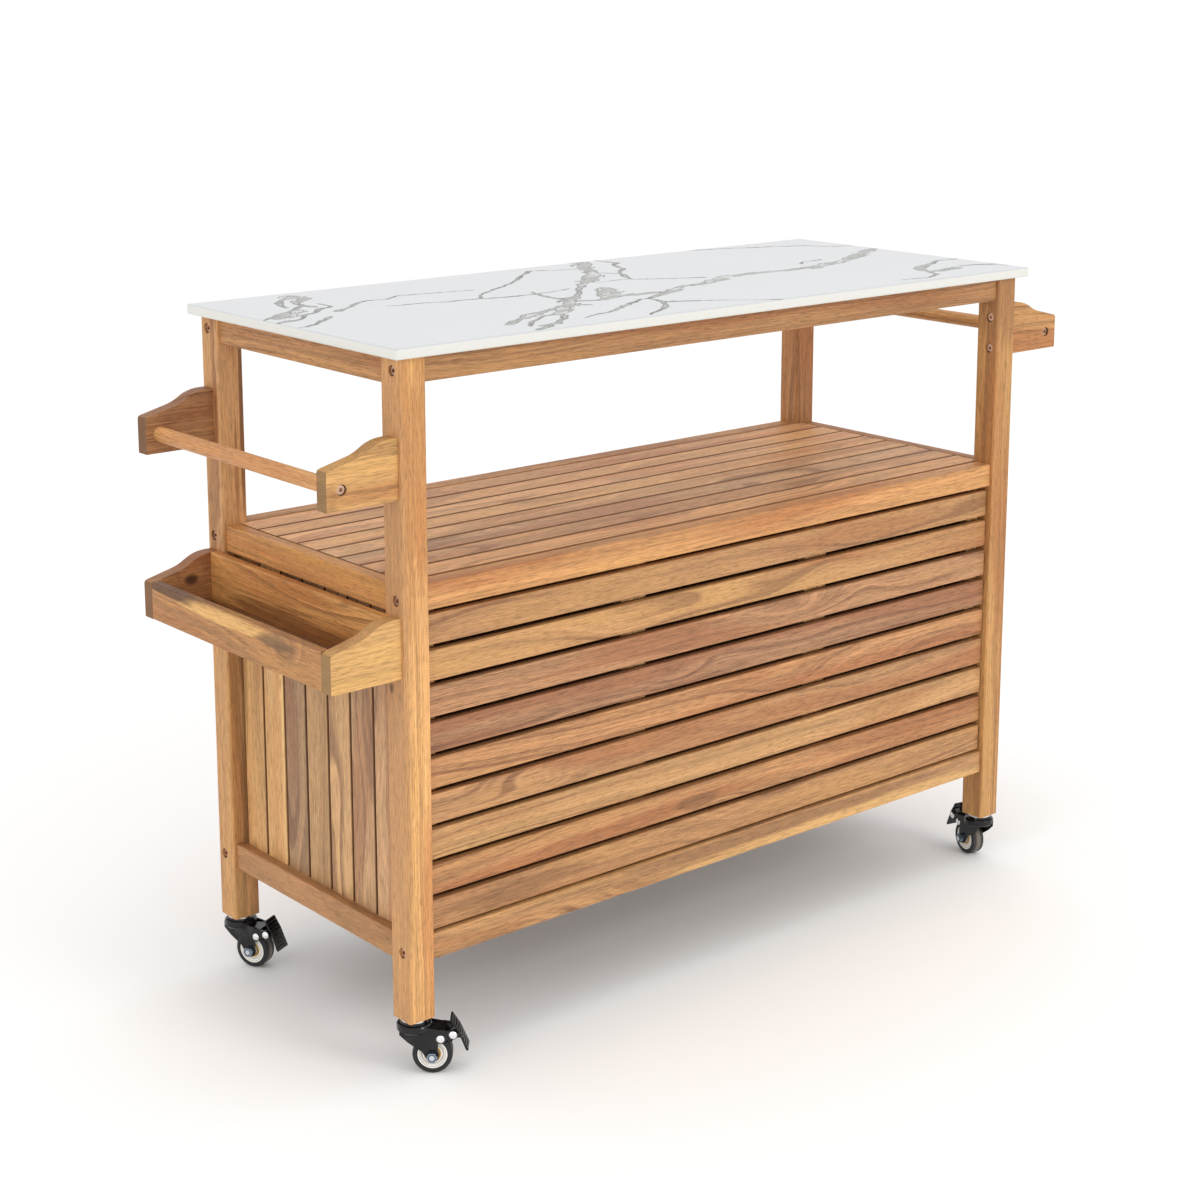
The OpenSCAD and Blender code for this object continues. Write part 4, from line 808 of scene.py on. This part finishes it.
def eased_slab(low, high, ease, grid):
    """A box whose edges are all rounded to one radius: every point is a point of the box less that radius
    on all sides, plus the radius times an outward direction. One parameter goes round the section across
    the slab, with many points over its top, and the other along the slab, from end to end. Returns the
    points and faces."""
    inner_low, inner_high = low + ease, high - ease
    turn = np.linspace(0, np.pi / 2, 4)
    steps = len(turn)
    over = np.linspace(inner_low[1], inner_high[1], int((inner_high[1] - inner_low[1]) / grid))
    y = np.concatenate((over, np.full(2 * steps, inner_high[1]), np.full(2 * steps, inner_low[1])))
    z = np.concatenate((np.full(len(over) + steps, inner_high[2]), np.full(2 * steps, inner_low[2]),
                        np.full(steps, inner_high[2])))
    angle = np.concatenate((np.full(len(over), np.pi / 2), np.pi / 2 - turn, -turn, -np.pi / 2 - turn,
                            np.pi - turn))
    along = np.linspace(inner_low[0], inner_high[0], int((inner_high[0] - inner_low[0]) / grid))
    x = np.concatenate((np.full(steps, inner_low[0]), along[1:-1], np.full(steps, inner_high[0])))
    tilt = np.concatenate((turn, np.full(len(along) - 2, np.pi / 2), np.pi / 2 + turn))
    points = np.empty((len(x), len(y), 3))
    points[..., 0] = (x - ease * np.cos(tilt))[:, None]
    points[..., 1] = y + ease * np.sin(tilt)[:, None] * np.cos(angle)
    points[..., 2] = z + ease * np.sin(tilt)[:, None] * np.sin(angle)
    first_end = list(range(len(y)))[::-1]
    last_end = list(range((len(x) - 1) * len(y), len(x) * len(y)))
    return points.reshape(-1, 3), [*grid_faces(len(x), len(y)).tolist(), first_end, last_end]


def veined_stone(here):
    """Cool white stone whose veins are broken into slanting shards of grey-green, with dark cracks
    between them, on a barely clouded ground. The slab's edges are plain and warmer."""
    depth = here.add("ShaderNodeAttribute", {"attribute_name": "vein_depth"}, {}, "Fac")
    width = here.add("ShaderNodeAttribute", {"attribute_name": "vein_width"}, {}, "Fac")
    x, y, z = here.parts()
    slant = (x * 0.93 + y * 0.37).joined(y * 0.93 - x * 0.37, 0.0)
    slant = slant.vector("ADD", (here.clouds(45.0, 2.0) - 0.5) * 0.020)
    cells = {"Vector": slant.vector("MULTIPLY", (34.0, 125.0, 1.0)), "Scale": 1.0}
    shard = here.add("ShaderNodeTexVoronoi", {"voronoi_dimensions": "2D"}, cells, "Color")
    split = here.add("ShaderNodeTexVoronoi", {
        "voronoi_dimensions": "2D", "feature": "DISTANCE_TO_EDGE"}, cells, "Distance")
    shift, shade, _ = shard.parts()
    ragged = depth + (shift - 0.45) * width * 1.1 + (here.clouds(160.0, 2.0) - 0.5) * 0.0022
    inside = ragged.rise(-0.0004, 0.0004)
    filled = inside * (1 - shade.rise(0.62, 0.78) * width.rise(0.002, 0.006) * 0.75)
    rim = (ragged - 0.0005).size().rise(0.0019, 0.0005) * (0.40 + shade * 0.60)
    cracks = split.rise(0.13, 0.03) * inside * width.rise(0.0012, 0.003) * shift.rise(0.3, 0.8) * 0.8
    halo = depth.rise(-0.012, 0.0) * 0.10
    cloud = here.clouds(9.0, 2.0)
    crack_grey = paint(80, 81, 76)
    stone = cloud.between(paint(199, 200, 203), paint(206, 207, 210))
    stone = stone.mixed(paint(196, 198, 194), halo).mixed(paint(158, 160, 154), filled * 0.9)
    stone = stone.mixed(crack_grey, cracks).mixed(crack_grey, rim)
    upward = here.facing().parts()[2]
    return stone.mixed(paint(219, 218, 211), upward.rise(0.6, 0.2)).surface({
        "Roughness": 0.30 + filled * 0.08 + cloud * 0.04, "Specular IOR Level": 0.45,
        "Normal": (here.clouds(700.0) - filled * 0.5).bump(0.00004, 0.3)})


slab_points, slab_faces = eased_slab(slab_low, slab_high, slab_ease, slab_grid)
slab = piece("worktop_slab", slab_points, slab_faces, material("veined_stone", veined_stone),
             "cart", "worktop_stone")
vein_depth, vein_width = vein_figure(slab_points[:, :2])
# The figure lies on the top face alone
vein_depth[slab_points[:, 2] < slab_high[2] - 0.4 * slab_ease] = outside_veins
for name, values in (("vein_depth", vein_depth), ("vein_width", vein_width)):
    slab.data.attributes.new(name, "FLOAT", "POINT").data.foreach_set("value", values.astype(np.float32))
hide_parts("worktop")

# Studio
# A plain pale floor that runs on to the horizon, an even pale sky, and three soft boxes: the key to the
# right of the camera, one overhead and one at the left. The view is the photograph's own.


def pale_floor(here):
    """Matt paper white with the faintest clouding."""
    return here.clouds(0.6, 2.0).between(paint(250, 250, 250), paint(253, 253, 252)).surface({
        "Roughness": 0.9, "Specular IOR Level": 0.1})


floor_half = 30.0
floor_corners = [(x * floor_half, y * floor_half, 0.0) for x, y in ((-1, -1), (1, -1), (1, 1), (-1, 1))]
floor_mesh = bpy.data.meshes.new("studio_floor")
floor_mesh.from_pydata(floor_corners, [], [(0, 1, 2, 3)])
floor_mesh.materials.append(material("pale_floor", pale_floor))
studio_floor = bpy.data.objects.new("studio_floor", floor_mesh)
bpy.context.scene.collection.objects.link(studio_floor)


def soft_light(name, place, aim, width, height, watts, tint=(1.0, 1.0, 1.0)):
    """A rectangular soft box at a place, turned to face its aim."""
    lamp = bpy.data.lights.new(name, "AREA")
    lamp.shape = "RECTANGLE"
    lamp.size, lamp.size_y, lamp.energy, lamp.color = width, height, watts, tint
    box = bpy.data.objects.new(name, lamp)
    box.location = place
    box.rotation_euler = (Vector(aim) - Vector(place)).to_track_quat("-Z", "Y").to_euler()
    bpy.context.scene.collection.objects.link(box)


soft_light("key_light", (0.8, -3.6, 2.6), (0.0, 0.0, 0.5), 1.3, 0.9, 26.0, (1.0, 0.985, 0.96))
soft_light("top_light", (-0.5, -0.5, 4.2), (0.0, 0.0, 0.0), 1.8, 1.2, 10.0)
soft_light("left_light", (-3.8, -0.6, 1.8), (0.0, 0.0, 0.5), 0.9, 0.7, 8.0)
sky = bpy.data.worlds.new("pale_sky")
sky.use_nodes = True
sky.node_tree.nodes["Background"].inputs["Color"].default_value = (1.0, 1.0, 1.0, 1.0)
sky.node_tree.nodes["Background"].inputs["Strength"].default_value = 1.04
bpy.context.scene.world = sky
bpy.context.scene.view_settings.view_transform = "Standard"

frame_pixels = 1200
focal_pixels = 2246
lens = bpy.data.cameras.new("camera")
lens.sensor_width = 36.0
lens.lens = focal_pixels / frame_pixels * lens.sensor_width
lens.shift_y = -0.15
lens.clip_end = 100.0
azimuth = math.radians(40.18)
fall = math.radians(11.30)
sight = Vector((math.sin(azimuth) * math.cos(fall), math.cos(azimuth) * math.cos(fall), -math.sin(fall)))
camera = bpy.data.objects.new("camera", lens)
camera.location = (-2.019, -2.322, 1.338)
camera.rotation_euler = sight.to_track_quat("-Z", "Y").to_euler()
bpy.context.scene.collection.objects.link(camera)
bpy.context.scene.camera = camera
